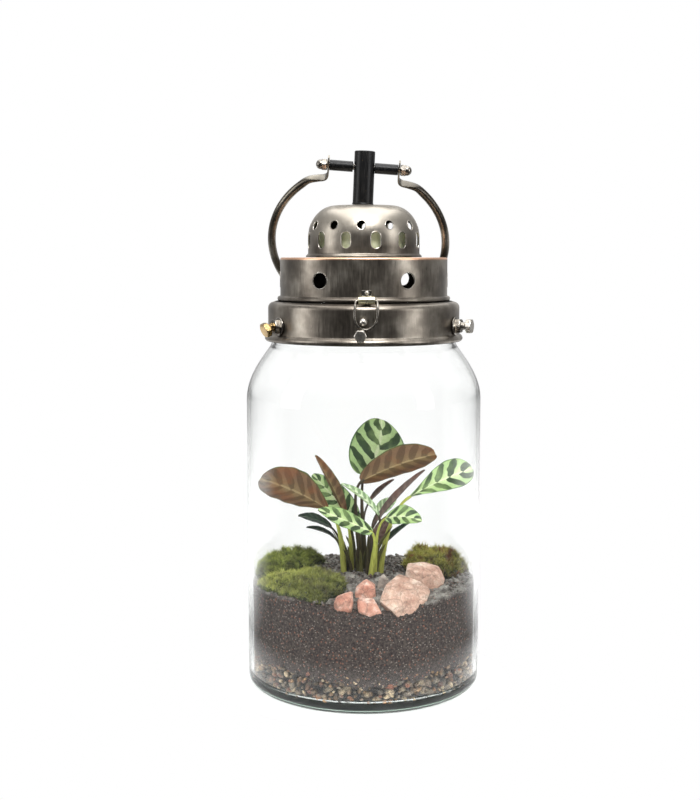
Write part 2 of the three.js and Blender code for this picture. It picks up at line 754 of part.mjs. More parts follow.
/** A stone, or with grow the pocket that holds it. */
function stone(corners, grow = 0) {
  const points = corners.map((p) => v3(...p));
  const centre = points.reduce((sum, p) => sum.add(p), v3(0, 0, 0)).divideScalar(points.length);
  const pushed = points.map((p) => p.clone().addScaledVector(p.clone().sub(centre).normalize(), grow));
  return new ConvexGeometry(pushed);
}

function soil(leaves) {
  const body = clip(mound(FILL_R, SOIL_Z, ground, ROUND, 6), FILL_LIMIT);
  const pockets = [
    ...MOSSES.map((moss) => cushion(moss, 0.5)),
    ...Object.values(STONES).map((corners) => stone(corners, 0.9)),
    ...leaves.map((leaf) => petiole(leaf, 0.45)),
  ];
  return cut(body, pockets);
}

// ---------------------------------------------------------------- plant
// Each leaf: root in the soil [x, y], base and tip of its blade, width, the side its upper face looks to, the
// bow of its midrib towards that side, the lift of its edges as a share of the half width, the petiole's radius,
// and how many strips the blade has across and along. Some have a sway of the midrib to the side, another peak
// (above 0.9 the blade is widest nearer to its tip) and a blunter outline than the usual 0.62.
const LEAVES = [
  {
    name: "leaf_top", root: [1, 8], base: [0, 5, 161], tip: [14, 13, 204],
    width: 44, face: [0, -1, 0.2], bow: 2, lift: -0.1, stem: 1.3, grid: [4, 8],
    sway: 4.5, peak: 0.95, blunt: 0.5,
  },
  {
    name: "leaf_brown_right", root: [-1, -3], base: [-2, -4, 158], tip: [55, -14, 181],
    width: 27, face: [0.1, 0.85, 0.5], bow: 4, lift: 0.3, stem: 1.3, grid: [4, 8],
    peak: 1.15, blunt: 0.4,
  },
  {
    name: "leaf_right", root: [13, -5], base: [34, -10, 146], tip: [84.2, -6, 168.5],
    width: 27, face: [-0.3, -0.8, 0.6], bow: 3, lift: 0.2, stem: 1.3, grid: [4, 8],
    peak: 2.2, blunt: 0.55,
  },
  {
    name: "leaf_right_small", root: [9, -10], base: [17, -18, 132], tip: [44, -28, 132],
    width: 20, face: [0, -0.6, 0.8], bow: 3, lift: 0.2, stem: 1, grid: [4, 6],
  },
  {
    name: "leaf_brown_left", root: [-15, -6], base: [-27, -12, 138], tip: [-78, -22, 163],
    width: 40, face: [0, 0.8, 0.6], bow: 3, lift: 0.15, stem: 1.4, grid: [4, 8],
    peak: 1.6, blunt: 0.5,
  },
  {
    name: "leaf_purple_left", root: [-9, -3], base: [-14, -4, 132], tip: [-37, -9, 179],
    width: 11, face: [0.5, 0.8, 0.3], bow: 2, lift: 0.4, stem: 1.1, grid: [2, 6],
  },
  {
    name: "leaf_back_left", root: [-7, 3], base: [-4, 4, 120], tip: [-40, 9, 161],
    width: 23, face: [0.3, -0.9, 0.2], bow: 3, lift: 0.2, stem: 1.2, grid: [4, 8],
  },
  {
    name: "leaf_front", root: [5, -13], base: [7, -20, 121], tip: [-34, -32, 141],
    width: 20, face: [0, -0.55, 0.85], bow: 0.5, lift: 0.15, stem: 1.3, grid: [4, 8],
  },
  {
    name: "leaf_dark_left", root: [-14, 4], base: [-25, 4, 120], tip: [-51, 0, 130],
    width: 12, face: [0, -0.4, 0.9], bow: 2, lift: 0.2, stem: 1, grid: [2, 6],
  },
  {
    name: "leaf_low_left", root: [-15, 10], base: [-23, 10, 111], tip: [-45, 9, 119],
    width: 7, face: [0, -0.3, 1], bow: 1.5, lift: 0.3, stem: 0.9, grid: [2, 6],
  },
  {
    name: "leaf_young_back", root: [0, 13], base: [4, 12, 138], tip: [24, 16, 156],
    width: 6, face: [-0.5, -0.5, 0.7], bow: 1, lift: 0.5, stem: 0.9, grid: [2, 6],
  },
  {
    name: "leaf_young_right", root: [6, -5], base: [8, -6, 124], tip: [47, -10, 168],
    width: 8, face: [-0.6, -0.5, 0.6], bow: 2, lift: 0.5, stem: 1, grid: [2, 7],
  },
  {
    name: "leaf_low_brown", root: [8, 6], base: [8, 8, 106], tip: [22, 14, 128],
    width: 12, face: [0.3, 0.9, 0.3], bow: 2, lift: 0.2, stem: 1, grid: [2, 6],
  },
  {
    name: "leaf_low_right", root: [15, 1], base: [15, 2, 106], tip: [37, 2, 125],
    width: 6, face: [-0.4, -0.5, 0.7], bow: 1.5, lift: 0.4, stem: 0.9, grid: [2, 6],
  },
  {
    name: "leaf_back_right", root: [7, 16], base: [10, 16, 128], tip: [26, 19, 140],
    width: 11, face: [0, -0.7, 0.6], bow: 2, lift: 0.2, stem: 0.9, grid: [2, 6],
  },
  {
    name: "leaf_folded", root: [3, -8], base: [12, -13, 133], tip: [-17, -15, 158],
    width: 10, face: [0.3, -0.4, 0.9], bow: 3, lift: 0.25, stem: 1, grid: [2, 6],
  },
];

/** The directions of a blade: along its midrib, up from its upper face, and to its side. */
function leafFrame({ base, tip, face }) {
  const start = v3(...base);
  const along = v3(...tip).sub(start);
  const length = along.length();
  along.divideScalar(length);
  const up = v3(...face).addScaledVector(along, -v3(...face).dot(along)).normalize();
  return { start, along, up, side: new THREE.Vector3().crossVectors(along, up), length };
}

/** Half width of a blade at a share t of its length: oblong, blunt at the tip. */
function bladeHalf({ width, peak = 0.9, blunt = 0.62 }, t) {
  return Math.max(0.7, (width / 2) * Math.sin(Math.PI * t ** peak) ** blunt);
}

/** A thin blade, split into the same triangles on both of its faces. */
function blade(leaf) {
  const { bow, lift, grid, sway = 0 } = leaf;
  const { start, along, up, side, length } = leafFrame(leaf);
  const [across, steps] = grid;
  const thick = 0.4;
  const rings = Array.from({ length: steps + 1 }, (_, i) => {
    const t = i / steps;
    const half = bladeHalf(leaf, 0.02 + 0.96 * t);
    const middle = start
      .clone()
      .addScaledVector(along, length * t)
      .addScaledVector(up, 4 * bow * t * (1 - t))
      .addScaledVector(side, 4 * sway * t * (1 - t));
    const at = (j, lower) => {
      const s = (2 * j) / across - 1;
      const wave = 0.05 * half * Math.sin(9 * t + 2 * s);
      const edge = Math.abs(s) === 1 ? wave : 0;
      const raised = lift * half * Math.abs(s) ** 1.5 + edge + (lower ? -thick : thick);
      return middle.clone().addScaledVector(side, s * half).addScaledVector(up, raised);
    };
    const upper = Array.from({ length: across + 1 }, (_, j) => at(j, false));
    const lower = Array.from({ length: across + 1 }, (_, j) => at(across - j, true));
    return [...upper, ...lower];
  });
  return bladeSkin(rings, across);
}

/** Joins a blade's sections so that both faces have the same diagonals. */
function bladeSkin(rings, across) {
  const n = rings[0].length;
  const index = [];
  const quad = (a, b, c, d, flip) => (flip ? index.push(a, b, c, a, c, d) : index.push(a, b, d, b, c, d));
  for (let i = 0; i < rings.length - 1; i++) {
    for (let j = 0; j < n; j++) {
      const [a, b] = [i * n + j, i * n + ((j + 1) % n)];
      quad(a, b, b + n, a + n, j <= across);
    }
  }
  const end = (rings.length - 1) * n;
  for (let j = 0; j < across; j++) {
    const [a, b, c, d] = [j, j + 1, n - 2 - j, n - 1 - j];
    index.push(a, d, c, a, c, b);
    index.push(end + a, end + b, end + c, end + a, end + c, end + d);
  }
  const geometry = new THREE.BufferGeometry();
  const flat = rings.flat().flatMap((p) => [p.x, p.y, p.z]);
  geometry.setAttribute("position", new THREE.Float32BufferAttribute(flat, 3));
  geometry.setIndex(index);
  return geometry;
}

/** A petiole from its foot in the soil to a little way into the blade, or with grow the hole it stands in. */
function petiole(leaf, grow = 0) {
  const { start, along } = leafFrame(leaf);
  const [x, y] = leaf.root;
  const end = start.clone().addScaledVector(along, 3);
  const reach = start.distanceTo(v3(x, y, STEM_FOOT));
  const curve = new THREE.CubicBezierCurve3(
    v3(x, y, STEM_FOOT - grow),
    v3(x, y, STEM_FOOT + 0.5 * reach),
    start.clone().addScaledVector(along, -0.15 * reach),
    end,
  );
  return tube(curve, leaf.stem + grow, 5, 5);
}

// ---------------------------------------------------------------- the object
piece("jar", jar(), MATERIAL.glass);
piece("gravel", gravel(), MATERIAL.gravel);
piece("soil", soil(LEAVES), MATERIAL.soil);
for (const moss of MOSSES) piece(moss.name, cushion(moss), MATERIAL[moss.material]);
for (const [name, corners] of Object.entries(STONES)) piece(name, stone(corners), MATERIAL.stone);
for (const leaf of LEAVES) piece(leaf.name, join(blade(leaf), petiole(leaf)), MATERIAL.leaf);

piece("collar", collar(), MATERIAL.pewter);
for (const [side, azimuth] of SIDE_SCREWS) {
  piece("set_screw_" + side, setScrew(SCREW, azimuth, side === BENT.side ? BENT.angle : 0), MATERIAL.bright);
  piece("flange_nut_" + side, flangeNut(azimuth), MATERIAL.pewter);
}
piece("set_screw_front", setScrew(FRONT_SCREW, FRONT_AZIMUTH), MATERIAL.bright);
piece("drum", drum(), MATERIAL.pewter);
piece("dome", dome(), MATERIAL.pewter);
piece("light_diffuser", diffuser(), MATERIAL.diffuser);
piece("hinge_drum_leaf", hingeDrumLeaf(), MATERIAL.pewter);
piece("hinge_collar_leaf", hingeCollarLeaf(), MATERIAL.pewter);
piece("hinge_pin", hingePin(), MATERIAL.bright);

piece("post", post(), MATERIAL.black);
piece("cross_rod", alongRod(new THREE.CylinderGeometry(ROD.r, ROD.r, 2 * ROD.half, 12)), MATERIAL.bright);
for (const [side, sign] of [["left", -1], ["right", 1]]) {
  piece("rod_sleeve_" + side, sleeve(sign), MATERIAL.black);
  piece("cap_nut_" + side, capNut(sign), MATERIAL.bright);
}
piece("handle", handle(), MATERIAL.pewter);

piece("latch_plate", latchPlate(), MATERIAL.brass);
piece("latch_rivet", latchRivet(), MATERIAL.bright);
piece("latch_loop", latchLoop(), MATERIAL.bright);
piece("latch_stud", latchStud(), MATERIAL.bright);

export default object;
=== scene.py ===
"""A planted glass jar with a lantern lid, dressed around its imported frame.

The tables and formulas are in millimetres, +Z up, with the latch facing -Y. Meshes are in metres.
"""

from __future__ import annotations

import logging
import math
from collections.abc import Callable, Sequence
from dataclasses import dataclass, field
from enum import Enum
from typing import Any

import bmesh
import bpy
import numpy as np
from mathutils import Matrix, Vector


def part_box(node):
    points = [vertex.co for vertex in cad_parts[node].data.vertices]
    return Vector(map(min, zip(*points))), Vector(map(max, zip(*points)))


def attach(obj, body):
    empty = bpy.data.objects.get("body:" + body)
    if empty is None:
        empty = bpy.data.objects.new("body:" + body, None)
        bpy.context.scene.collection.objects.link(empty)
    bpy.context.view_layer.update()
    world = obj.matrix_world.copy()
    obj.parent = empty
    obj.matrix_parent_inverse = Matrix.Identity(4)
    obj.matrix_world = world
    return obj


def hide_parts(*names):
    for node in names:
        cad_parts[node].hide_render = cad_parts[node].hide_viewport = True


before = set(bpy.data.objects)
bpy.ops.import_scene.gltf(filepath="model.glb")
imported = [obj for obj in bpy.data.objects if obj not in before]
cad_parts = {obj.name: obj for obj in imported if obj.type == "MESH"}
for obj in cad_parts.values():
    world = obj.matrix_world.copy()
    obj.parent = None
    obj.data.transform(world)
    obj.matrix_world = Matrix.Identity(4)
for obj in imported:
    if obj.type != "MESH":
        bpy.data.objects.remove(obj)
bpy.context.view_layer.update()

LOG = logging.getLogger("terrarium")
Array = np.ndarray
MM = 0.001
TURN = 2 * math.pi
HEX_SIDES = 72  # steps round a hexagon, twelve to a flat
TERRARIUM = "terrarium"  # the body that holds all but the handle and the latch's loop


# ---------- measures read from the frame
def corners(node: str) -> tuple[Array, Array]:
    """A node's lowest and highest corners, in millimetres.

    Args:
        node: the frame's name for the piece.

    Returns:
        The lowest corner and the highest corner.
    """
    low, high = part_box(node)
    return np.array(low) / MM, np.array(high) / MM


GAP = 0.3
JAR_R = corners("jar")[1][0]
LIP_Z = corners("jar")[1][2]
COLLAR_Z = corners("collar")[0][2]
COLLAR_TOP = corners("collar")[1][2]
DRUM_Z = corners("drum")[0][2]
DRUM_TOP = corners("drum")[1][2]
DOME_TOP = corners("dome")[1][2]
POST_TOP = corners("post")[1][2]


# ---------- numbers and curves
def wave_noise(points: Array, size: float, seed: int, waves: int = 16) -> Array:
    """A smooth random field, mostly from -1 to 1.

    Formula: the sum of sines of the place along random directions, over the root of their number.

    Args:
        points: places, in millimetres, the last axis being x, y, z.
        size: typical length of a bump, in millimetres.
        seed: start of the random draw.
        waves: how many sines are summed.

    Returns:
        One number for each place.
    """
    draw = np.random.default_rng(seed)
    way = draw.normal(size=(waves, 3))
    way *= (draw.uniform(0.6, 1.6, waves) / np.linalg.norm(way, axis=1))[:, None]
    angle = points @ way.T * (TURN / size) + draw.uniform(0, TURN, waves)
    return np.sin(angle).sum(-1) * 0.6 / math.sqrt(waves / 2)


def arc(centre: Sequence[float], radius: float, start: float, end: float, steps: int = 12) -> Array:
    """Points of a circle's arc in a profile: centre plus radius times (cos, sin), angles in degrees."""
    turn = np.radians(np.linspace(start, end, steps + 1))
    return np.stack([centre[0] + radius * np.cos(turn), centre[1] + radius * np.sin(turn)], -1)


def bezier(points: Sequence[Sequence[float]], steps: int) -> Array:
    """Points of a cubic curve: the four corners weighted by (1-t)^3, 3t(1-t)^2, 3t^2(1-t) and t^3."""
    t = np.linspace(0, 1, steps + 1)[:, None]
    a, b, c, d = np.asarray(points, float)
    return (1 - t) ** 3 * a + 3 * t * (1 - t) ** 2 * b + 3 * t**2 * (1 - t) * c + t**3 * d


def eased(points: Sequence[Sequence[float]], reach: float, steps: int = 4, closed: bool = False) -> Array:
    """Rounds the corners of a line of points.

    Formula: each corner becomes a parabola from a point on the edge before it to one on the edge after it,
    each no further from the corner than reach or 0.45 of the edge.

    Args:
        points: the line's corners, in any number of dimensions.
        reach: how far from its corner a rounding starts, in millimetres.
        steps: pieces of each rounding.
        closed: whether the line's end joins its start.

    Returns:
        The rounded line's points.
    """
    p = np.asarray(points, float)
    before, after = np.roll(p, 1, 0), np.roll(p, -1, 0)
    t = np.linspace(0, 1, steps + 1)[None, :, None]

    def toward(other: Array) -> Array:
        """The point on an edge where the rounding of its corner starts."""
        edge = other - p
        length = np.maximum(np.linalg.norm(edge, axis=1, keepdims=True), 1e-9)
        return p + edge * np.minimum(reach / length, 0.45)

    a, b = toward(before)[:, None], toward(after)[:, None]
    curve = (1 - t) ** 2 * a + 2 * t * (1 - t) * p[:, None] + t**2 * b
    if closed:
        return curve.reshape(-1, p.shape[1])
    inner = curve[1:-1].reshape(-1, p.shape[1])
    return np.concatenate([p[:1], inner, p[-1:]])


def spline(points: Sequence[Sequence[float]], steps: int, closed: bool = False) -> Array:
    """A smooth line through points.

    Formula: a cubic between each two of them, whose slope at a point is half the gap between its neighbours.
    """
    p = np.asarray(points, float)
    if closed:
        ring = np.concatenate([p[-1:], p, p[:2]])
    else:
        ring = np.concatenate([2 * p[:1] - p[1:2], p, 2 * p[-1:] - p[-2:-1]])
    a, b, c, d = (ring[i : len(ring) - 3 + i, None] for i in range(4))
    t = np.linspace(0, 1, steps, endpoint=False)[None, :, None]
    curve = 0.5 * (2 * b + (c - a) * t + (2 * a - 5 * b + 4 * c - d) * t**2 + (3 * b - a - 3 * c + d) * t**3)
    flat = curve.reshape(-1, p.shape[1])
    return flat if closed else np.concatenate([flat, p[-1:]])


def basis(forward: Sequence[float], up: Sequence[float] = (0, 0, 1)) -> Array:
    """Three square directions as columns: aside, upright and forward."""
    z = np.asarray(forward, float) / np.linalg.norm(forward)
    x = np.cross(up, z)
    x /= np.linalg.norm(x)
    return np.stack([x, np.cross(z, x), z], -1)


def outward(azimuth: float) -> Array:
    """The level direction out of the lid at an azimuth, in degrees from the front towards +X."""
    return np.array([math.sin(math.radians(azimuth)), -math.cos(math.radians(azimuth)), 0.0])


def sideways(azimuth: float) -> Array:
    """The level direction to the right of the outward one, seen from outside."""
    return np.array([math.cos(math.radians(azimuth)), math.sin(math.radians(azimuth)), 0.0])


def about_x(angle: float) -> Array:
    """The matrix of a turn about the x axis, in radians."""
    c, s = math.cos(angle), math.sin(angle)
    return np.array([(1, 0, 0), (0, c, -s), (0, s, c)])


# ---------- skins
@dataclass
class Skin:
    """Points in millimetres, and the faces between them as arrays of corner indices.

    Attributes:
        points: one row for each point.
        faces: arrays of faces, each with its own number of corners.
        slots: for each array of faces, which of the piece's finishes it has.
        marks: named numbers, one for each point, that the finishes read.
    """

    points: Array
    faces: list[Array]
    slots: list[int] = field(default_factory=list)
    marks: dict[str, Array] = field(default_factory=dict)

    def __post_init__(self) -> None:
        """Gives every array of faces the first finish unless it has another."""
        self.slots = self.slots or [0] * len(self.faces)

    def placed(self, turn: Array | None = None, origin: Sequence[float] = (0, 0, 0)) -> Skin:
        """The skin turned by a matrix and then moved."""
        points = self.points if turn is None else self.points @ np.asarray(turn).T
        return Skin(points + np.asarray(origin, float), self.faces, self.slots, self.marks)

    def dyed(self, **marks: float) -> Skin:
        """The skin with the same number at each point for each name given."""
        added = {name: np.full(len(self.points), value) for name, value in marks.items()}
        return Skin(self.points, self.faces, self.slots, self.marks | added)

    def in_slot(self, slot: int) -> Skin:
        """The skin with all of its faces in one finish."""
        return Skin(self.points, self.faces, [slot] * len(self.faces), self.marks)

    def volume(self) -> float:
        """Six times the volume inside, by the sum of the triple products of each face's fan of triangles."""
        total = 0.0
        for faces in self.faces:
            p = self.points[faces]
            for k in range(1, faces.shape[1] - 1):
                total += float(np.einsum("ij,ij->", p[:, 0], np.cross(p[:, k], p[:, k + 1])))
        return total

    def facing_out(self) -> Skin:
        """The closed skin with its faces pointing out."""
        if self.volume() >= 0:
            return self
        return Skin(self.points, [f[:, ::-1] for f in self.faces], self.slots, self.marks)


def joined(skins: Sequence[Skin]) -> Skin:
    """Several skins as one, with no points shared. A mark that a skin lacks is 0 there."""
    starts = np.cumsum([0] + [len(s.points) for s in skins])
    names = sorted({name for s in skins for name in s.marks})
    marks = {n: np.concatenate([s.marks.get(n, np.zeros(len(s.points))) for s in skins]) for n in names}
    faces = [f + start for s, start in zip(skins, starts) for f in s.faces]
    return Skin(np.concatenate([s.points for s in skins]), faces, [n for s in skins for n in s.slots], marks)


def lattice(rows: int, cols: int, close_rows: bool, close_cols: bool) -> Array:
    """Four-cornered faces between the points of a grid, numbered row by row."""
    down, along = rows - (not close_rows), cols - (not close_cols)
    i, j = np.meshgrid(np.arange(down), np.arange(along), indexing="ij")
    below, right = (i + 1) % rows, (j + 1) % cols
    square = [i * cols + j, i * cols + right, below * cols + right, below * cols + j]
    return np.stack(square, -1).reshape(-1, 4)


def tube_skin(rings: Array, closed: bool = False) -> Skin:
    """A skin over rings of points, with a flat face over each end unless the last ring joins the first."""
    rows, cols = rings.shape[:2]
    faces = [lattice(rows, cols, closed, True)]
    if not closed:
        faces += [np.arange(cols)[None, ::-1], (rows - 1) * cols + np.arange(cols)[None]]
    return Skin(rings.reshape(-1, 3), faces).facing_out()


def turned(profile: Array, sides: int = 192, ring: bool = False) -> Skin:
    """A profile of radius and height turned about the z axis.

    Formula: x = r cos a, y = r sin a, z = height. A profile that isn't a ring starts and ends on the axis,
    and its ends become one point each.

    Args:
        profile: rows of radius and height, in millimetres.
        sides: steps of the turn.
        ring: whether the profile closes on itself.

    Returns:
        A closed skin.
    """
    p = np.asarray(profile, float)
    body = p if ring else p[1:-1]
    a = np.arange(sides) * TURN / sides
    r, z = body[:, :1], np.broadcast_to(body[:, 1:], (len(body), sides))
    points = np.stack([r * np.cos(a), r * np.sin(a), z], -1).reshape(-1, 3)
    faces = [lattice(len(body), sides, ring, True)]
    if not ring:
        last = len(points)
        here, after = np.arange(sides), (np.arange(sides) + 1) % sides
        end = (len(body) - 1) * sides
        faces.append(np.stack([np.full(sides, last), after, here], -1))
        faces.append(np.stack([np.full(sides, last + 1), end + here, end + after], -1))
        points = np.concatenate([points, [[0, 0, p[0, 1]], [0, 0, p[-1, 1]]]])
    return Skin(points, faces).facing_out()


def swept(path: Array, section: Array, reference: Sequence[float], closed: bool = False) -> Skin:
    """A section carried along a path.

    Formula: at each point the section's first axis is the reference direction made square to the path, and
    its second is square to both.

    Args:
        path: points in millimetres.
        section: points of the section, the same for the whole path or one set for each of its points.
        reference: a direction that the path never runs along.
        closed: whether the path joins its start.

    Returns:
        A closed skin.
    """
    ahead = np.roll(path, -1, 0) - np.roll(path, 1, 0)
    if not closed:
        ahead[0], ahead[-1] = path[1] - path[0], path[-1] - path[-2]
    ahead /= np.linalg.norm(ahead, axis=1, keepdims=True)
    guide = np.broadcast_to(np.asarray(reference, float), ahead.shape)
    normal = guide - (guide * ahead).sum(1, keepdims=True) * ahead
    normal /= np.linalg.norm(normal, axis=1, keepdims=True)
    aside = np.cross(ahead, normal)
    shape = np.broadcast_to(section, (len(path),) + section.shape[-2:])
    rings = path[:, None] + shape[..., :1] * normal[:, None] + shape[..., 1:] * aside[:, None]
    return tube_skin(rings, closed)


def circle(radius: float, sides: int) -> Array:
    """A round section."""
    a = np.arange(sides) * TURN / sides
    return radius * np.stack([np.cos(a), np.sin(a)], -1)


def hex_radius(across_flats: float, angle: Array) -> Array:
    """A hexagon's radius at an angle: half its width over the cosine of the turn from the nearest flat."""
    return across_flats / 2 / np.cos((angle % (TURN / 6)) - TURN / 12)


def lathe_with(radius: Callable[[Array, Array], Array], heights: Array, sides: int) -> Skin:
    """A turned shape whose radius is a function of height and angle, with a flat face at each end."""
    a = np.arange(sides) * TURN / sides
    z, angle = np.meshgrid(heights, a, indexing="ij")
    r = radius(z, angle)
    return tube_skin(np.stack([r * np.cos(angle), r * np.sin(angle), z], -1))


def hex_block(across_flats: float, low: float, high: float, chamfer: float = 0.5) -> Skin:
    """A hexagonal block with its corners turned off at the ends.

    Formula: the least of the hexagon's radius and two cones that narrow by 1.7 times the way to an end.
    """
    corner = across_flats / math.sqrt(3)
    steps = np.concatenate([low + chamfer * np.linspace(0, 1, 4), high - chamfer * np.linspace(1, 0, 4)])

    def radius(z: Array, angle: Array) -> Array:
        """The block's radius at a height and an angle."""
        foot = 1.7 * (z - low) + corner - 1.7 * chamfer
        cone = np.minimum(1.7 * (high - z) + corner - 1.7 * chamfer, foot)
        return np.minimum(hex_radius(across_flats, angle), cone)

    return lathe_with(radius, steps, HEX_SIDES)


def hex_ring(across_flats: float, bore: float, heights: Array, turned_off: Array) -> Skin:
    """A hexagonal ring round a bore.

    Formula: its radius is the lesser of the hexagon's and the corner's less what is turned off there.

    Args:
        across_flats: the hexagon's width.
        bore: the bore's radius.
        heights: where the ring's sections are.
        turned_off: how much the corners lose at each height.

    Returns:
        A closed skin.
    """
    z, angle = np.meshgrid(heights, np.arange(HEX_SIDES) * TURN / HEX_SIDES, indexing="ij")
    r = np.minimum(hex_radius(across_flats, angle), across_flats / math.sqrt(3) - turned_off[:, None])
    outer = np.stack([r * np.cos(angle), r * np.sin(angle), z], -1)
    inner = np.stack([bore * np.cos(angle), bore * np.sin(angle), z], -1)[::-1]
    return tube_skin(np.concatenate([outer, inner]), closed=True)


def plug(radius: float, half: float) -> Skin:
    """A closed cylinder about the origin, which cuts a bore."""
    return turned(np.array([(0, -half), (radius, -half), (radius, half), (0, half)]), 40)


def threaded_bar(radius: float, pitch: float, low: float, high: float) -> Skin:
    """A bar with a thread: its radius falls and rises once each pitch, and the groove climbs once a turn."""

    def thread(z: Array, angle: Array) -> Array:
        """The bar's radius at a height and an angle."""
        phase = (z / pitch - angle / TURN) % 1
        return radius - 0.55 * pitch * np.abs(phase - 0.5)

    steps = max(int((high - low) / pitch * 8), 8)
    return lathe_with(thread, np.linspace(low, high, steps), 32)


# ---------- meshes and pieces
def mesh_of(name: str, skin: Skin, sharp: float | None) -> bpy.types.Mesh:
    """Puts a skin into a mesh.

    Args:
        name: the mesh's name.
        skin: points, faces and marks.
        sharp: edges that fold by more than this many degrees stay sharp. None keeps every face flat.

    Returns:
        The mesh, in metres.
    """
    mesh = bpy.data.meshes.new(name)
    sizes = np.concatenate([np.full(len(f), f.shape[1]) for f in skin.faces])
    loops = np.concatenate([f.ravel() for f in skin.faces]).astype(np.int32)
    starts = np.concatenate([[0], np.cumsum(sizes)[:-1]]).astype(np.int32)
    mesh.vertices.add(len(skin.points))
    mesh.vertices.foreach_set("co", (skin.points * MM).astype(np.float32).ravel())
    mesh.loops.add(len(loops))
    mesh.loops.foreach_set("vertex_index", loops)
    mesh.polygons.add(len(sizes))
    mesh.polygons.foreach_set("loop_start", starts)
    slots = np.concatenate([np.full(len(f), n) for f, n in zip(skin.faces, skin.slots)])
    mesh.polygons.foreach_set("material_index", slots.astype(np.int32))
    mesh.update(calc_edges=True)
    mesh.validate()
    for mark, values in skin.marks.items():
        mesh.attributes.new(mark, "FLOAT", "POINT").data.foreach_set("value", values.astype(np.float32))
    if sharp is not None:
        mesh.polygons.foreach_set("use_smooth", np.ones(len(sizes), bool))
        mesh.set_sharp_from_angle(angle=math.radians(sharp))
    return mesh


def object_of(name: str, skin: Skin, sharp: float | None = 35) -> bpy.types.Object:
    """Links a new object with a skin's mesh, at the origin."""
    made = bpy.data.objects.new(name, mesh_of(name, skin, sharp))
    bpy.context.scene.collection.objects.link(made)
    return made


def of_faces(made: bpy.types.Object, what: str) -> Array:
    """One vector of each face, such as its center or its normal, as rows."""
    values = np.empty(3 * len(made.data.polygons), np.float32)
    made.data.polygons.foreach_get(what, values)
    return values.reshape(-1, 3)


def bake(made: bpy.types.Object, sharp: float = 35) -> None:
    """Applies an object's modifiers to its mesh."""
    evaluated = made.evaluated_get(bpy.context.evaluated_depsgraph_get())
    mesh = bpy.data.meshes.new_from_object(evaluated)
    made.modifiers.clear()
    mesh.materials.clear()
    made.data = mesh
    mesh.polygons.foreach_set("use_smooth", np.ones(len(mesh.polygons), bool))
    mesh.set_sharp_from_angle(angle=math.radians(sharp))


def drilled(made: bpy.types.Object, tools: Sequence[Skin]) -> bpy.types.Object:
    """Cuts holes into an object.

    Args:
        made: the object to cut.
        tools: closed skins that don't touch each other.

    Returns:
        The same object, cut.
    """
    cutter = object_of("cutter", joined(tools), None)
    cut = made.modifiers.new("holes", "BOOLEAN")
    cut.operation = "DIFFERENCE"
    cut.solver = "EXACT"
    cut.object = cutter
    bpy.context.view_layer.update()
    bake(made)
    bpy.data.objects.remove(cutter)
    return made


def dress(
    made: bpy.types.Object,
    finishes: Sequence[bpy.types.Material],
    nodes: Sequence[str],
    body: str = TERRARIUM,
) -> bpy.types.Object:
    """Gives a piece its finishes and its place in the part.

    Args:
        made: the piece.
        finishes: its materials, in the order of its faces' slots.
        nodes: the CAD nodes that the piece stands for.
        body: the CAD body that it rides on.

    Returns:
        The same piece.
    """
    for finish in finishes:
        made.data.materials.append(finish)
    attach(made, body)
    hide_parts(*nodes)
    LOG.info("%s: %d faces, rides on %s", made.name, len(made.data.polygons), body)
    return made


# ---------- finishes
def linear(code: str) -> tuple[float, float, float, float]:
    """An sRGB hex colour as linear red, green, blue and an alpha of 1."""
    parts = [int(code[i : i + 2], 16) / 255 for i in (1, 3, 5)]
    curve = [c / 12.92 if c <= 0.04045 else ((c + 0.055) / 1.055) ** 2.4 for c in parts]
    return (curve[0], curve[1], curve[2], 1.0)


def per(size: float) -> float:
    """The scale of a pattern on Object coordinates whose features are this many millimetres apart."""
    return 1 / (size * MM)


class Shading:
    """The node tree of a material or a world, with the piece's own coordinates."""

    def __init__(self, name: str, store: Any = None) -> None:
        """Starts an empty tree in a new material, or in a new world if the store of worlds is given."""
        self.owner = (bpy.data.materials if store is None else store).new(name)
        self.owner.use_nodes = True
        self.tree = self.owner.node_tree
        self.tree.nodes.clear()
        self.place = self.add("TexCoord").outputs["Object"]

    def add(self, kind: str, *given: Any, ramp: Any = None, **settings: Any) -> bpy.types.Node:
        """Adds a node with its settings and links.

        Args:
            kind: the node's type, without its first word, ShaderNode.
            given: a value, a socket or a node for each input from the first on, or one dictionary of them by
                name or number. A node stands for its first output in use.
            ramp: for a colour ramp, its stops as position and hex colour.
            settings: the node's own properties.

        Returns:
            The node.
        """
        inputs = given[0] if given and isinstance(given[0], dict) else dict(enumerate(given))
        node = self.tree.nodes.new("ShaderNode" + kind)
        for key, value in settings.items():
            setattr(node, key, value)
        for i, (position, colour) in enumerate(ramp or ()):
            stops = node.color_ramp.elements
            stop = stops[i] if i < 2 else stops.new(position)
            stop.position = position
            stop.color = linear(colour)
        for key, value in inputs.items():
            if isinstance(value, bpy.types.Node):
                value = next(o for o in value.outputs if o.enabled)
            if isinstance(value, bpy.types.NodeSocket):
                self.tree.links.new(value, node.inputs[key])
            else:
                node.inputs[key].default_value = value
        return node

    def mark(self, name: str) -> bpy.types.NodeSocket:
        """The piece's own number of that name."""
        return self.add("Attribute", attribute_name=name).outputs["Fac"]

    def done(self, surface: bpy.types.Node, volume: bpy.types.Node | None = None) -> bpy.types.Material:
        """Joins a shader to the output.

        Args:
            surface: the shader of the surface.
            volume: the shader of what is inside.

        Returns:
            The finished material.
        """
        self.add("OutputMaterial", {"Surface": surface} | ({"Volume": volume} if volume else {}))
        return self.owner


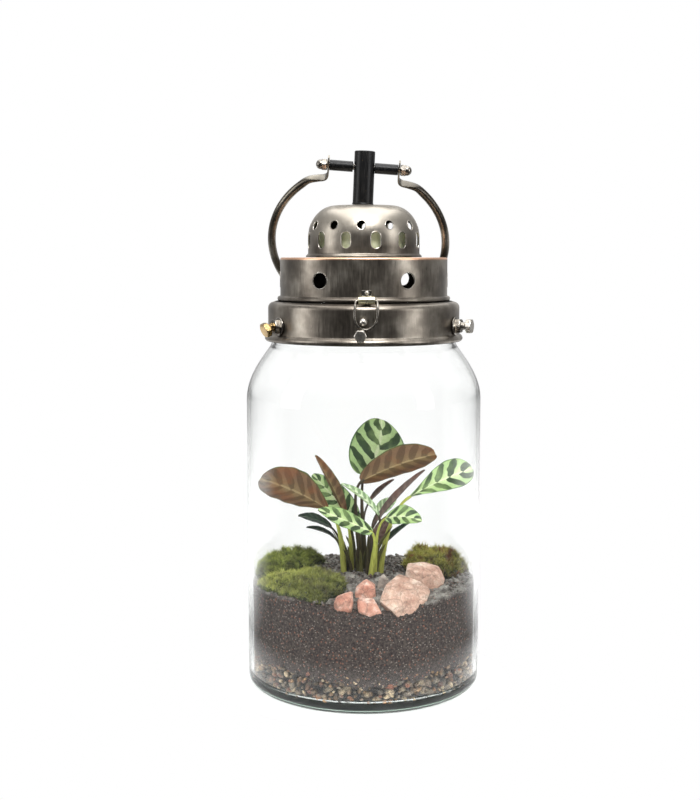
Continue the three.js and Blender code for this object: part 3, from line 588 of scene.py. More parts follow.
@dataclass(frozen=True)
class BurnishedPewter:
    """Burnished dark steel sheet: upright brush marks over brownish clouds, half polished."""

    name: str = "burnished_pewter_sheet"
    deep: str = "#514b44"
    body: str = "#7a736a"
    pale: str = "#a69f94"
    mark_wide: float = 0.5
    mark_long: float = 12
    cloud: float = 22
    polished: float = 0.27
    dull: float = 0.46

    def tone(self, s: Shading, marks: bpy.types.Node) -> bpy.types.Node:
        """The metal's colour: clouds with a share of the brush marks."""
        clouds = s.add("TexNoise", {"Vector": s.place, "Scale": per(self.cloud), "Detail": 4.0})
        both = s.add("Mix", {0: 0.2, 2: clouds, 3: marks}, data_type="FLOAT")
        stops = ((0.33, self.deep), (0.5, self.body), (0.66, self.pale))
        return s.add("ValToRGB", both, ramp=stops)

    def make(self) -> bpy.types.Material:
        """Builds the material."""
        s = Shading(self.name)
        stretch = (per(self.mark_wide), per(self.mark_wide), per(self.mark_long))
        upright = s.add("Mapping", {"Vector": s.place, "Scale": stretch})
        marks = s.add("TexNoise", {"Vector": upright, "Scale": 1.0, "Detail": 3.0, "Roughness": 0.6})
        rough = s.add("MapRange", marks, 0.3, 0.7, self.polished, self.dull)
        relief = s.add("Bump", {"Height": marks, "Strength": 0.12, "Distance": 0.05 * MM})
        wanted = {"Base Color": self.tone(s, marks), "Metallic": 1.0, "Roughness": rough, "Normal": relief}
        return s.done(s.add("BsdfPrincipled", wanted))


@dataclass(frozen=True)
class CopperEdgedPewter(BurnishedPewter):
    """The same sheet with a copper colour at its top rim: a copper seam, painted also as an edge highlight.
    """

    name: str = "copper_seam_highlight_pewter_sheet"
    copper: str = "#e6b898"
    edge_z: float = 328.4
    edge_r: float = 58.0

    def tone(self, s: Shading, marks: bpy.types.Node) -> bpy.types.Node:
        """The sheet's colour, turning to copper above a height and out of a radius: the seam's colour and a
        painted edge highlight.
        """
        sheet = super().tone(s, marks)
        height = s.add("SeparateXYZ", s.place).outputs["Z"]
        low, high = self.edge_z * MM, (self.edge_z + 0.5) * MM
        edge_share = s.add("MapRange", height, low, high, 0.0, 0.85)
        level = s.add("VectorMath", s.place, (1, 1, 0), operation="MULTIPLY")
        reach = s.add("VectorMath", level, operation="LENGTH").outputs["Value"]
        rim = s.add("MapRange", reach, self.edge_r * MM, (self.edge_r + 1.5) * MM, 0.0, 1.0)
        share = s.add("Math", edge_share, rim, operation="MULTIPLY")
        return s.add("Mix", {0: share, 6: sheet, 7: linear(self.copper)}, data_type="RGBA")


@dataclass(frozen=True)
class HighlightTopPewter(BurnishedPewter):
    """The same sheet with a painted highlight on its rounded top."""

    name: str = "painted_highlight_pewter_sheet"
    # bright: the colour of the painted highlight.
    bright: str = "#b9b2a6"
    low: float = 338.0
    high: float = 356.0

    def tone(self, s: Shading, marks: bpy.types.Node) -> bpy.types.Node:
        """The sheet's colour, turning brighter between two heights: the painted highlight."""
        height = s.add("SeparateXYZ", s.place).outputs["Z"]
        # rubbed: the share of the painted highlight, which rises with height.
        rubbed = s.add("MapRange", height, self.low * MM, self.high * MM, 0.0, 0.6)
        return s.add("Mix", {0: rubbed, 6: super().tone(s, marks), 7: linear(self.bright)}, data_type="RGBA")


@dataclass(frozen=True)
class WornMetal:
    """Turned or rolled metal, bright where it is rubbed and dark with grime in patches."""

    name: str
    bright: str
    grime: str
    patch: float = 3.5
    polished: float = 0.16
    dull: float = 0.4

    def make(self) -> bpy.types.Material:
        """Builds the material."""
        s = Shading(self.name)
        patches = s.add("TexNoise", {"Vector": s.place, "Scale": per(self.patch), "Detail": 5.0})
        stops = ((0.3, self.grime), (0.56, self.bright))
        tone = s.add("ValToRGB", patches, ramp=stops)
        rough = s.add("MapRange", patches, 0.35, 0.6, self.dull, self.polished)
        relief = s.add("Bump", {"Height": patches, "Strength": 0.1, "Distance": 0.1 * MM})
        wanted = {"Base Color": tone, "Metallic": 1.0, "Roughness": rough, "Normal": relief}
        return s.done(s.add("BsdfPrincipled", wanted))


@dataclass(frozen=True)
class BlackEnamel:
    """Baked black enamel on tube: satin, with upright rub marks and a little brown dust."""

    name: str = "baked_black_enamel"
    base: str = "#070708"
    rubbed: str = "#1a1815"
    dust: str = "#5a4c36"

    def make(self) -> bpy.types.Material:
        """Builds the material."""
        s = Shading(self.name)
        upright = s.add("Mapping", {"Vector": s.place, "Scale": (per(0.7), per(0.7), per(9))})
        rubs = s.add("TexNoise", {"Vector": upright, "Scale": 1.0, "Detail": 3.0})
        tone = s.add("ValToRGB", rubs, ramp=((0.5, self.base), (0.75, self.rubbed)))
        specks = s.add("TexNoise", {"Vector": s.place, "Scale": per(2.2), "Detail": 5.0})
        dusty = s.add("MapRange", specks, 0.68, 0.76, 0.0, 0.6)
        both = s.add("Mix", {0: dusty, 6: tone, 7: linear(self.dust)}, data_type="RGBA")
        rough = s.add("MapRange", rubs, 0.3, 0.7, 0.3, 0.5)
        relief = s.add("Bump", {"Height": rubs, "Strength": 0.15, "Distance": 0.05 * MM})
        wanted = {
            "Base Color": both, "Roughness": rough, "Normal": relief, "IOR": 1.52, "Specular IOR Level": 0.25
        }
        return s.done(s.add("BsdfPrincipled", wanted))


@dataclass(frozen=True)
class FrostedCup:
    """Moulded frosted plastic, yellow-green, with a faint dusty bloom; its pale colour is partly painted
    light, standing for the light that comes through it from below.
    """

    name: str = "frosted_green_plastic"
    # Paler than the plastic's own colour: painted light passing through the cup.
    base: str = "#dcdfae"
    bloom: str = "#eeefcc"

    def make(self) -> bpy.types.Material:
        """Builds the material."""
        s = Shading(self.name)
        dust = s.add("TexNoise", {"Vector": s.place, "Scale": per(9), "Detail": 4.0})
        tone = s.add("ValToRGB", dust, ramp=((0.4, self.base), (0.65, self.bloom)))
        relief = s.add("Bump", {"Height": dust, "Strength": 0.1, "Distance": 0.1 * MM})
        wanted = {"Base Color": tone, "Roughness": 0.55, "Normal": relief, "IOR": 1.49}
        return s.done(s.add("BsdfPrincipled", wanted))


@dataclass(frozen=True)
class BlownGlass:
    """Clear blown soda glass: slightly uneven, and green where light runs far through it.

    Lamps reach what is inside, as through real glass, because the shader lets their rays straight through.
    """

    name: str = "clear_blown_glass"
    tint: str = "#dcebe2"
    density: float = 14.0

    def make(self) -> bpy.types.Material:
        """Builds the material."""
        s = Shading(self.name)
        ripple = s.add("TexNoise", {"Vector": s.place, "Scale": per(45), "Detail": 1.0})
        relief = s.add("Bump", {"Height": ripple, "Strength": 0.15, "Distance": 0.6 * MM})
        clear = {"Base Color": (1, 1, 1, 1), "Transmission Weight": 1.0, "Roughness": 0.0, "IOR": 1.5}
        glass = s.add("BsdfPrincipled", clear | {"Normal": relief})
        through = s.add("BsdfTransparent", {"Color": (0.96, 0.98, 0.97, 1)})
        path = s.add("LightPath")
        shadow, diffuse = path.outputs["Is Shadow Ray"], path.outputs["Is Diffuse Ray"]
        either = s.add("Math", shadow, diffuse, operation="MAXIMUM")
        surface = s.add("MixShader", either, glass, through)
        inside = s.add("VolumeAbsorption", {"Color": linear(self.tint), "Density": self.density})
        return s.done(surface, inside)


@dataclass(frozen=True)
class PaintedDarkGlassFoot:
    """The jar's underside: bottle green and matt, its dark colour a painted reflection of the soil and gravel
    that lie over it.
    """

    name: str = "painted_dark_glass_underside"
    # painted_dark: the darkest tone of the painted reflection.
    painted_dark: str = "#141f19"
    body: str = "#2c3d33"

    def make(self) -> bpy.types.Material:
        """Builds the material."""
        s = Shading(self.name)
        patches = s.add("TexNoise", {"Vector": s.place, "Scale": per(10), "Detail": 3.0})
        tone = s.add("ValToRGB", patches, ramp=((0.35, self.painted_dark), (0.65, self.body)))
        return s.done(s.add("BsdfPrincipled", {"Base Color": tone, "Roughness": 0.45, "IOR": 1.5}))


@dataclass(frozen=True)
class PottingSoil:
    """Damp potting soil: dark crumbs, pale grains and red bark specks, matt, and paler on its dry top."""

    name: str = "damp_potting_soil"
    dark: str = "#1e1817"
    body: str = "#3c3331"
    pale: str = "#584c47"
    grain: str = "#c4b6aa"
    bark: str = "#8c5a48"
    dust: str = "#a7a29c"

    def make(self) -> bpy.types.Material:
        """Builds the material."""
        s = Shading(self.name)
        crumbs = s.add("TexNoise", {"Vector": s.place, "Scale": per(1.6), "Detail": 5.0, "Roughness": 0.7})
        tone = s.add("ValToRGB", crumbs, ramp=((0.36, self.dark), (0.5, self.body), (0.68, self.pale)))
        cells = s.add("TexVoronoi", {"Vector": s.place, "Scale": per(2.1)})
        grains = s.add("MapRange", cells.outputs["Distance"], 0.14, 0.24, 0.4, 0.0)
        light = s.add("Mix", {0: grains, 6: tone, 7: linear(self.grain)}, data_type="RGBA")
        bark = s.add("TexVoronoi", {"Vector": s.place, "Scale": per(3.1)})
        red = s.add("MapRange", bark.outputs["Distance"], 0.16, 0.26, 0.6, 0.0)
        both = s.add("Mix", {0: red, 6: light, 7: linear(self.bark)}, data_type="RGBA")
        bloom = s.add("TexNoise", {"Vector": s.place, "Scale": per(8), "Detail": 4.0, "Roughness": 0.7})
        patchy = s.add("MapRange", bloom, 0.42, 0.62, 0.12, 0.8)
        dusty = s.add("Math", patchy, s.mark("dust"), operation="MULTIPLY")
        dry = s.add("Mix", {0: dusty, 6: both, 7: linear(self.dust)}, data_type="RGBA")
        relief = s.add("Bump", {"Height": crumbs, "Strength": 0.8, "Distance": 0.6 * MM})
        wanted = {"Base Color": dry, "Roughness": 0.92, "Normal": relief}
        return s.done(s.add("BsdfPrincipled", wanted))


@dataclass(frozen=True)
class CrushedGravel:
    """Crushed river gravel: each pebble has a stone's own colour and grain, darkened by painted shade in the
    gaps between them.
    """

    name: str = "crushed_river_gravel"
    # The first, darkest colour is also the painted shade on the core between the pebbles.
    stones: tuple[str, ...] = (
        "#2c251e", "#8f6f4d", "#6b5f56", "#c0996f", "#8d5443", "#a08f7c", "#5d5346", "#d6bd9a"
    )

    def make(self) -> bpy.types.Material:
        """Builds the material."""
        s = Shading(self.name)
        stops = [((i + 0.5) / len(self.stones), colour) for i, colour in enumerate(self.stones)]
        tone = s.add("ValToRGB", s.mark("tint"), ramp=stops)
        grain = s.add("TexNoise", {"Vector": s.place, "Scale": per(0.9), "Detail": 4.0})
        shade = s.add("ValToRGB", grain, ramp=((0.35, "#6b6b6b"), (0.65, "#ffffff")))
        grained = s.add("Mix", {0: 0.8, 6: tone, 7: shade}, data_type="RGBA", blend_type="MULTIPLY")
        # Painted shade: the pebbles darken with the mark depth, further in from the glass.
        painted_gap_shade = s.add("MapRange", s.mark("depth"), 0.0, 1.0, 1.15, 0.12)
        both = s.add("VectorMath", {0: grained, 3: painted_gap_shade}, operation="SCALE")
        relief = s.add("Bump", {"Height": grain, "Strength": 0.5, "Distance": 0.3 * MM})
        wanted = {"Base Color": both, "Roughness": 0.8, "Normal": relief}
        return s.done(s.add("BsdfPrincipled", wanted))


@dataclass(frozen=True)
class BrokenGranite:
    """Broken granite: feldspar and quartz grains about 2 mm wide, with dark mica flecks and fine cracks."""

    name: str
    deep: str
    body: str
    pale: str
    mica: str = "#6a554c"

    def make(self) -> bpy.types.Material:
        """Builds the material."""
        s = Shading(self.name)
        bands = s.add("TexNoise", {"Vector": s.place, "Scale": per(14), "Detail": 6.0, "Roughness": 0.7})
        tone = s.add("ValToRGB", bands, ramp=((0.32, self.deep), (0.5, self.body), (0.72, self.pale)))
        cells = s.add("TexVoronoi", {"Vector": s.place, "Scale": per(2.4)})
        grey = s.add("SeparateColor", cells.outputs["Color"]).outputs[0]
        shade = s.add("MapRange", grey, 0.0, 1.0, 0.86, 1.12)
        grains = s.add("VectorMath", {0: tone, 3: shade}, operation="SCALE")
        bent = s.add("Mix", {0: 0.012, 4: s.place, 5: bands.outputs["Color"]}, data_type="VECTOR")
        edges = s.add("TexVoronoi", {"Vector": bent, "Scale": per(10)}, feature="DISTANCE_TO_EDGE")
        crack = s.add("MapRange", edges.outputs["Distance"], 0.01, 0.05, 0.5, 0.0)
        split = s.add("Mix", {0: crack, 6: grains, 7: linear(self.mica)}, data_type="RGBA")
        fleck = s.add("TexNoise", {"Vector": s.place, "Scale": per(1.3), "Detail": 3.0})
        dark = s.add("MapRange", fleck, 0.62, 0.7, 0.0, 0.55)
        both = s.add("Mix", {0: dark, 6: split, 7: linear(self.mica)}, data_type="RGBA")
        relief = s.add("Bump", {"Height": fleck, "Strength": 0.6, "Distance": 0.4 * MM})
        wanted = {"Base Color": both, "Roughness": 0.72, "Normal": relief}
        return s.done(s.add("BsdfPrincipled", wanted))


@dataclass(frozen=True)
class LivingMoss:
    """Living moss: dark between its shoots and bright at their tips, with withered patches."""

    name: str
    deep: str
    shoot: str
    tip: str
    withered: str
    spent: float
    patch: float = 12

    def make(self) -> bpy.types.Material:
        """Builds the material."""
        s = Shading(self.name)
        up = s.mark("tip")
        fresh = s.add("ValToRGB", up, ramp=((0.0, self.deep), (0.45, self.shoot), (1.0, self.tip)))
        dry = s.add("ValToRGB", up, ramp=((0.0, self.deep), (1.0, self.withered)))
        patches = s.add("TexNoise", {"Vector": s.place, "Scale": per(self.patch), "Detail": 3.0})
        spent = s.add("MapRange", patches, 0.5, 0.66, 0.0, self.spent)
        grown = s.add("Mix", {0: spent, 6: fresh, 7: dry}, data_type="RGBA")
        shade = s.add("MapRange", s.mark("tint"), 0.0, 1.0, 0.35, 1.5)
        tone = s.add("VectorMath", {0: grown, 3: shade}, operation="SCALE")
        wanted = {"Base Color": tone, "Roughness": 0.85, "Sheen Weight": 0.2}
        return s.done(s.add("BsdfPrincipled", wanted))


@dataclass(frozen=True)
class PrayerPlantBlade:
    """A satin leaf face with dark feather stripes on both sides of its midrib."""

    name: str
    midrib: str
    inner: str
    outer: str
    margin: str
    stripe: str
    strength: float
    rough: float
    blush: str = "#9ab470"

    def make(self) -> bpy.types.Material:
        """Builds the material: stripes are bands of the mark stripe, whose width follows the mark across."""
        s = Shading(self.name)
        across, stripe = s.mark("across"), s.mark("stripe")
        wobble = s.add("TexNoise", {"Vector": s.place, "Scale": per(5), "Detail": 2.0})
        uneven = s.add("Math", wobble, 0.3, stripe, operation="MULTIPLY_ADD")
        step = s.add("Math", uneven, operation="FRACT")
        centred = s.add("Math", step, 0.5, operation="SUBTRACT")
        from_middle = s.add("Math", centred, operation="ABSOLUTE")
        away = s.add("Math", from_middle, 2.0, operation="MULTIPLY")
        width_stops = (
            (0.0, "#1c1c1c"), (0.08, "#a0a0a0"), (0.45, "#cfcfcf"), (0.8, "#b8b8b8"), (0.97, "#6c6c6c")
        )
        width = s.add("ValToRGB", across, ramp=width_stops)
        wide = s.add("Math", width, 0.12, operation="ADD")
        band = s.add("MapRange", away, width, wide, self.strength, 0.0, interpolation_type="SMOOTHSTEP")
        places = (0.0, 0.035, 0.07, 0.6, 0.92, 0.97)
        colours = (self.midrib, self.midrib, self.inner, self.outer, self.outer, self.margin)
        ground = s.add("ValToRGB", across, ramp=list(zip(places, colours)))
        tone = s.add("Mix", {0: band, 6: ground, 7: linear(self.stripe)}, data_type="RGBA")
        patches = s.add("TexNoise", {"Vector": s.place, "Scale": per(15), "Detail": 3.0})
        flushed = s.add("MapRange", patches, 0.48, 0.64, 0.0, 0.4)
        warm = s.add("Mix", {0: flushed, 6: tone, 7: linear(self.blush)}, data_type="RGBA")
        fine = s.add("TexNoise", {"Vector": s.place, "Scale": per(1.2), "Detail": 3.0})
        shade = s.add("MapRange", fine, 0.2, 0.8, 0.86, 1.12)
        varied = s.add("VectorMath", {0: warm, 3: shade}, operation="SCALE")
        relief = s.add("Bump", {"Height": away, "Strength": 0.3, "Distance": 0.25 * MM})
        wanted = {"Base Color": varied, "Roughness": self.rough, "Normal": relief, "IOR": 1.4}
        return s.done(s.add("BsdfPrincipled", wanted))


@dataclass(frozen=True)
class LeafStalk:
    """A fleshy leaf stalk: paler near the soil, with fine lengthwise streaks."""

    name: str
    foot: str
    upper: str

    def make(self) -> bpy.types.Material:
        """Builds the material: its colour runs from foot to upper along the mark rise."""
        s = Shading(self.name)
        tone = s.add("ValToRGB", s.mark("rise"), ramp=((0.1, self.foot), (0.6, self.upper)))
        streaks = s.add("Mapping", {"Vector": s.place, "Scale": (per(0.6), per(0.6), per(8))})
        fine = s.add("TexNoise", {"Vector": streaks, "Scale": 1.0, "Detail": 2.0})
        shade = s.add("MapRange", fine, 0.3, 0.7, 0.75, 1.2)
        varied = s.add("VectorMath", {0: tone, 3: shade}, operation="SCALE")
        return s.done(s.add("BsdfPrincipled", {"Base Color": varied, "Roughness": 0.5, "IOR": 1.4}))


class Finishes:
    """Every finish of the object, built once."""

    def __init__(self) -> None:
        """Builds the materials."""
        self.glass = BlownGlass().make()
        self.glass_foot = PaintedDarkGlassFoot().make()
        self.soil = PottingSoil().make()
        self.gravel = CrushedGravel().make()
        self.pink_granite = BrokenGranite("broken_pink_granite", "#9c7060", "#c29e8d", "#e4d4c6").make()
        self.red_granite = BrokenGranite("broken_salmon_granite", "#ad6c5a", "#cb9684", "#f2e4da").make()
        self.grey_granite = BrokenGranite("broken_grey_granite", "#6d645e", "#94877f", "#bdb2a8").make()
        self.bright_moss = LivingMoss(
            "bright_feather_moss", "#2c3016", "#757c3c", "#c0bf66", "#80775a", 0.7, 16
        ).make()
        self.dark_moss = LivingMoss(
            "dark_cushion_moss", "#141608", "#566026", "#b2ba56", "#4f472c", 0.5
        ).make()
        self.mixed_moss = LivingMoss(
            "reddish_cushion_moss", "#1a120c", "#6e6c2c", "#ccc45a", "#8a4630", 0.95, 8
        ).make()
        self.striped = PrayerPlantBlade(
            "prayer_plant_upper_face", "#e2e8c2", "#cddca6", "#adc689", "#4a6a40", "#2c4127", 0.97, 0.42
        ).make()
        self.under = PrayerPlantBlade(
            "prayer_plant_underside", "#a38c66", "#88704e", "#785a42", "#565f34", "#4e3a2a", 0.62, 0.46,
            "#93532f"
        ).make()
        self.dusk = PrayerPlantBlade(
            "young_leaf_brown_face", "#8a7468", "#75605a", "#62504a", "#3c332c", "#443632", 0.5, 0.45,
            "#7a4a3c"
        ).make()
        # Painted shade: a dark copy of the leaf colours for leaves that hang in shadow.
        self.shade = PrayerPlantBlade(
            "painted_shade_leaf_face", "#4c5c42", "#2f4232", "#26362c", "#1a241e", "#141e18", 0.7, 0.42, "#3a4a3a"
        ).make()
        self.pale = PrayerPlantBlade(
            "new_leaf_pale_face", "#eef2dc", "#dfe8c8", "#c6dcae", "#7c9468", "#6f8a62", 0.8, 0.42
        ).make()
        self.green_stalk = LeafStalk("green_leaf_stalk", "#a3a052", "#b4ba58").make()
        self.dark_stalk = LeafStalk("dark_leaf_stalk", "#4a4428", "#4a4034").make()
        # Withered sheath colours, darkened also as painted shade in the crown.
        self.sheath = LeafStalk("withered_and_shaded_leaf_sheath", "#33291f", "#5c5a34").make()
        self.pewter = BurnishedPewter().make()
        self.highlight_pewter = HighlightTopPewter().make()
        # The drum's sheet: copper at its top rim, as a seam and as a painted edge highlight.
        self.copper_seam_highlight = CopperEdgedPewter().make()
        self.dark_rod = BurnishedPewter(
            "burnished_dark_rod", "#3b3733", "#6e695f", "#a8a398", polished=0.26, dull=0.4
        ).make()
        # Wear and a painted edge highlight: the bright bead round each vent hole.
        self.rim = WornMetal("rubbed_and_highlit_sheet_edge", "#d8d2c8", "#8c857b", 6, 0.2, 0.36).make()
        # Painted shade: a dark dull metal for the inward faces and recesses of the lid's rings.
        self.painted_shade_inside = WornMetal("painted_shade_sheet_inside", "#2b2723", "#12100f", 9, 0.6, 0.8).make()
        self.steel = WornMetal("worn_zinc_steel", "#d2cdc4", "#8f897f", 5, 0.26, 0.42).make()
        self.dark_steel = WornMetal("oiled_dark_steel", "#948f87", "#4a4641", 5, 0.18, 0.34).make()
        self.gilt_steel = WornMetal("yellow_zinc_steel", "#b59a6c", "#7d6540", 6, 0.14, 0.3).make()
        self.brass = WornMetal("pale_worn_brass", "#f2ecca", "#d5cc9e", 6, 0.25, 0.38).make()
        self.enamel = BlackEnamel().make()
        self.cup = FrostedCup().make()


# ---------- glass jar
@dataclass
class Jar:
    """The glass jar: straight wall, rounded shoulder, neck and a thick base."""

    wall: float = 3.0
    floor: float = 7.7
    corner: float = 8.0
    shoulder_z: float = 222.0
    meet: tuple[float, float] = (71.5, 263.4)
    neck: float = 69.6
    lip: float = 1.3
    dark_foot_height: float = 0.3

    def shoulder(self, inset: float) -> Array:
        """The shoulder's curve, moved in by a wall's thickness."""
        r, z = self.meet
        handles = (
            (JAR_R - inset, self.shoulder_z), (JAR_R - inset, self.shoulder_z + 16),
            (r + 9 - inset, z - 12.4), (r - inset, z - 0.3 * inset),
        )
        return bezier(handles, 40)

    def skin(self) -> Skin:
        """The glass as one closed wall: its outside from the base up, and its inside back down."""
        inner = self.corner - self.wall
        neck_in = self.neck - self.wall
        rim = eased(
            [
                (self.neck, 268), (self.neck, LIP_Z - 6), (self.neck + self.lip, LIP_Z - 3),
                (self.neck + 0.5, LIP_Z), (neck_in + 0.4, LIP_Z), (neck_in, LIP_Z - 3), (neck_in, 267),
            ],
            1.2,
        )
        middle = (JAR_R - self.corner, self.floor + inner)
        profile = np.concatenate(
            [
                [(0, 0)],
                [(JAR_R - self.corner - 14, 0)],
                arc((JAR_R - self.corner, self.corner), self.corner, -90, 0, 20),
                [(JAR_R, 60), (JAR_R, 140)],
                self.shoulder(0),
                rim,
                self.shoulder(self.wall)[::-1],
                [(JAR_R - self.wall, 140), (JAR_R - self.wall, 60)],
                arc(middle, inner, 0, -90, 16),
                [(0, self.floor)],
            ]
        )
        return turned(profile, 256)

    def build(self, finishes: Finishes) -> None:
        """Makes the jar. Its underside, where it stands, is ground glass, dark with a painted reflection of
        the soil and gravel over it.
        """
        made = object_of("blown_jar", self.skin(), 60)
        # The faces of the underside take the painted dark reflection.
        foot = of_faces(made, "center")[:, 2] < self.dark_foot_height * MM
        made.data.polygons.foreach_set("material_index", foot.astype(np.int32))
        dress(made, [finishes.glass, finishes.glass_foot], ["jar"])


# ---------- gravel, soil, moss and stones
FILL_R = JAR_R - 3.6
STEM_FOOT = 71.0


def drawn_in(reach: Array, margin: float) -> Array:
    """What brings a place at this reach from the axis inside the glass by a margin: a factor up to 1."""
    return np.minimum(1, (FILL_R - margin) / np.maximum(reach, 1e-6))


def ground(x: Array, y: Array) -> Array:
    """Height of the soil: it falls to the back, rises to the crown and dips under the front stones."""

    def hill(cx: float, cy: float, spread: float, height: float) -> Array:
        """A round hill that falls off as a bell curve."""
        return height * np.exp(-((x - cx) ** 2 + (y - cy) ** 2) / (2 * spread**2))

    crumbs = 0.5 * np.sin(0.31 * x + 1.3) * np.cos(0.27 * y) + 0.4 * np.sin(0.17 * x - 0.23 * y)
    dips = hill(-12, -84, 17, -10) + hill(26, -84, 17, -13)
    return 81.5 + 0.01 * x - 0.031 * y + hill(-2, 0, 30, 5) + dips + crumbs


def ball_template() -> tuple[Array, Array]:
    """Directions and triangles of a ball of 80 faces."""
    bm = bmesh.new()
    bmesh.ops.create_icosphere(bm, subdivisions=2, radius=1)
    points = np.array([v.co[:] for v in bm.verts])
    faces = np.array([[v.index for v in f.verts] for f in bm.faces])
    bm.free()
    return points, faces


def chips(centres: Array, sizes: Array, seed: int, cuts: int = 9, flat: float = 0.8) -> Skin:
    """Broken bits of stone or soil.

    Formula: along each direction the surface is where the first of a few random planes is met, and each bit
    is then flattened, turned at random and moved to its place.

    Args:
        centres: the bits' places.
        sizes: their radii.
        seed: start of the random draw.
        cuts: planes of each bit.
        flat: least height of a bit beside its width.

    Returns:
        One skin with the mark tint, one random number for each bit.
    """
    draw = np.random.default_rng(seed)
    count = len(centres)
    ways, faces = ball_template()
    planes = draw.normal(size=(count, cuts, 3))
    planes /= np.linalg.norm(planes, axis=2, keepdims=True)
    depth = draw.uniform(0.62, 0.95, (count, cuts))
    facing = np.einsum("vk,npk->nvp", ways, planes) / depth[:, None]
    reach = 1 / np.maximum(facing.max(2), 0.8)
    points = ways[None] * reach[..., None]
    long, wide = draw.uniform(0.8, 1.15, count), draw.uniform(0.75, 1, count)
    points *= np.stack([long, wide, draw.uniform(flat - 0.2, flat, count)], -1)[:, None]
    a = draw.uniform(0, TURN, (count, 2))
    spin = np.zeros((count, 3, 3))
    spin[:, 0, 0], spin[:, 0, 1] = np.cos(a[:, 0]), -np.sin(a[:, 0])
    spin[:, 1, 0], spin[:, 1, 1] = np.sin(a[:, 0]), np.cos(a[:, 0])
    spin[:, 2, 2] = 1
    tip = np.zeros((count, 3, 3))
    tilt = 0.8 * np.sin(a[:, 1])
    tip[:, 0, 0] = 1
    tip[:, 1, 1], tip[:, 1, 2] = np.cos(tilt), -np.sin(tilt)
    tip[:, 2, 1], tip[:, 2, 2] = np.sin(tilt), np.cos(tilt)
    points = np.einsum("nij,njk,nvk->nvi", spin, tip, points) * sizes[:, None, None] + centres[:, None]
    starts = np.arange(count)[:, None, None] * len(ways)
    tint = np.repeat(draw.uniform(0, 1, count), len(ways))
    return Skin(points.reshape(-1, 3), [(faces[None] + starts).reshape(-1, 3)], marks={"tint": tint})


@dataclass
class Gravel:
    """The drainage layer: crushed pebbles against the glass round a core that holds the inner ones and is
    dark with painted shade.
    """

    foot: float = 8.1
    top: float = 25.5
    row_gap: float = 3.3
    per_row: int = 118
    ring_gap: float = 5.5
    smallest: float = 1.2
    spread: float = 3.4
    bed: int = 620
    bed_r: float = 76.0
    core_r: float = 80.0
    gap_depth: float = 2.6

    def skin(self) -> Skin:
        """Pebbles in rows with random places and sizes, in two rings, over a flat bed of them.

        The mark depth, which the finish turns into painted shade between the pebbles, is 0 at the glass and 1
        where the gaps between the pebbles end.
        """
        draw = np.random.default_rng(7)
        rows = int((self.top - self.foot) / self.row_gap) + 1
        centres, sizes = [], []
        for ring, share in ((0, 1.0), (1, 0.7)):
            count = int(self.per_row * share)
            for row in range(rows):
                size = self.smallest + self.spread * draw.uniform(0, 1, count) ** 2.2
                a = (np.arange(count) + draw.uniform(-0.4, 0.4, count) + row / 2) * TURN / count
                z = self.foot + 2.2 + self.row_gap * row + draw.uniform(-1.2, 1.2, count)
                r = FILL_R - size * 0.95 - self.ring_gap * ring
                z = np.maximum(z, self.foot + 0.75 * size)
                centres.append(np.stack([r * np.cos(a), r * np.sin(a), z], -1))
                sizes.append(size)
        size = draw.uniform(1.8, 3.6, self.bed)
        a, r = draw.uniform(0, TURN, self.bed), self.bed_r * np.sqrt(draw.uniform(0, 1, self.bed))
        centres.append(np.stack([r * np.cos(a), r * np.sin(a), self.foot + 0.75 * size], -1))
        sizes.append(size)
        pebbles = chips(np.concatenate(centres), np.concatenate(sizes), 11)
        low, high = self.foot + 1.6, self.top - 1
        wide = self.core_r
        side = [(wide - 2, low), (wide, self.foot + 4), (wide, high)]
        core = turned(np.array([(0, low), *side, (0, high)]), 96)
        # The core takes the darkest stone colour: painted shade between the inner pebbles.
        skin = joined([pebbles, core.dyed(tint=0.02)])
        level = np.maximum(skin.points[:, 2], self.foot)
        reach = np.hypot(skin.points[:, 0], skin.points[:, 1])
        inside = drawn_in(reach, 0.05)
        skin.points = np.stack([skin.points[:, 0] * inside, skin.points[:, 1] * inside, level], -1)
        # The mark depth drives the painted shade between the pebbles.
        skin.marks["depth"] = np.clip((FILL_R - reach) / self.gap_depth, 0, 1)
        return skin

    def build(self, finishes: Finishes) -> None:
        """Makes the gravel."""
        dress(object_of("gravel_layer", self.skin(), 30), [finishes.gravel], ["gravel"])


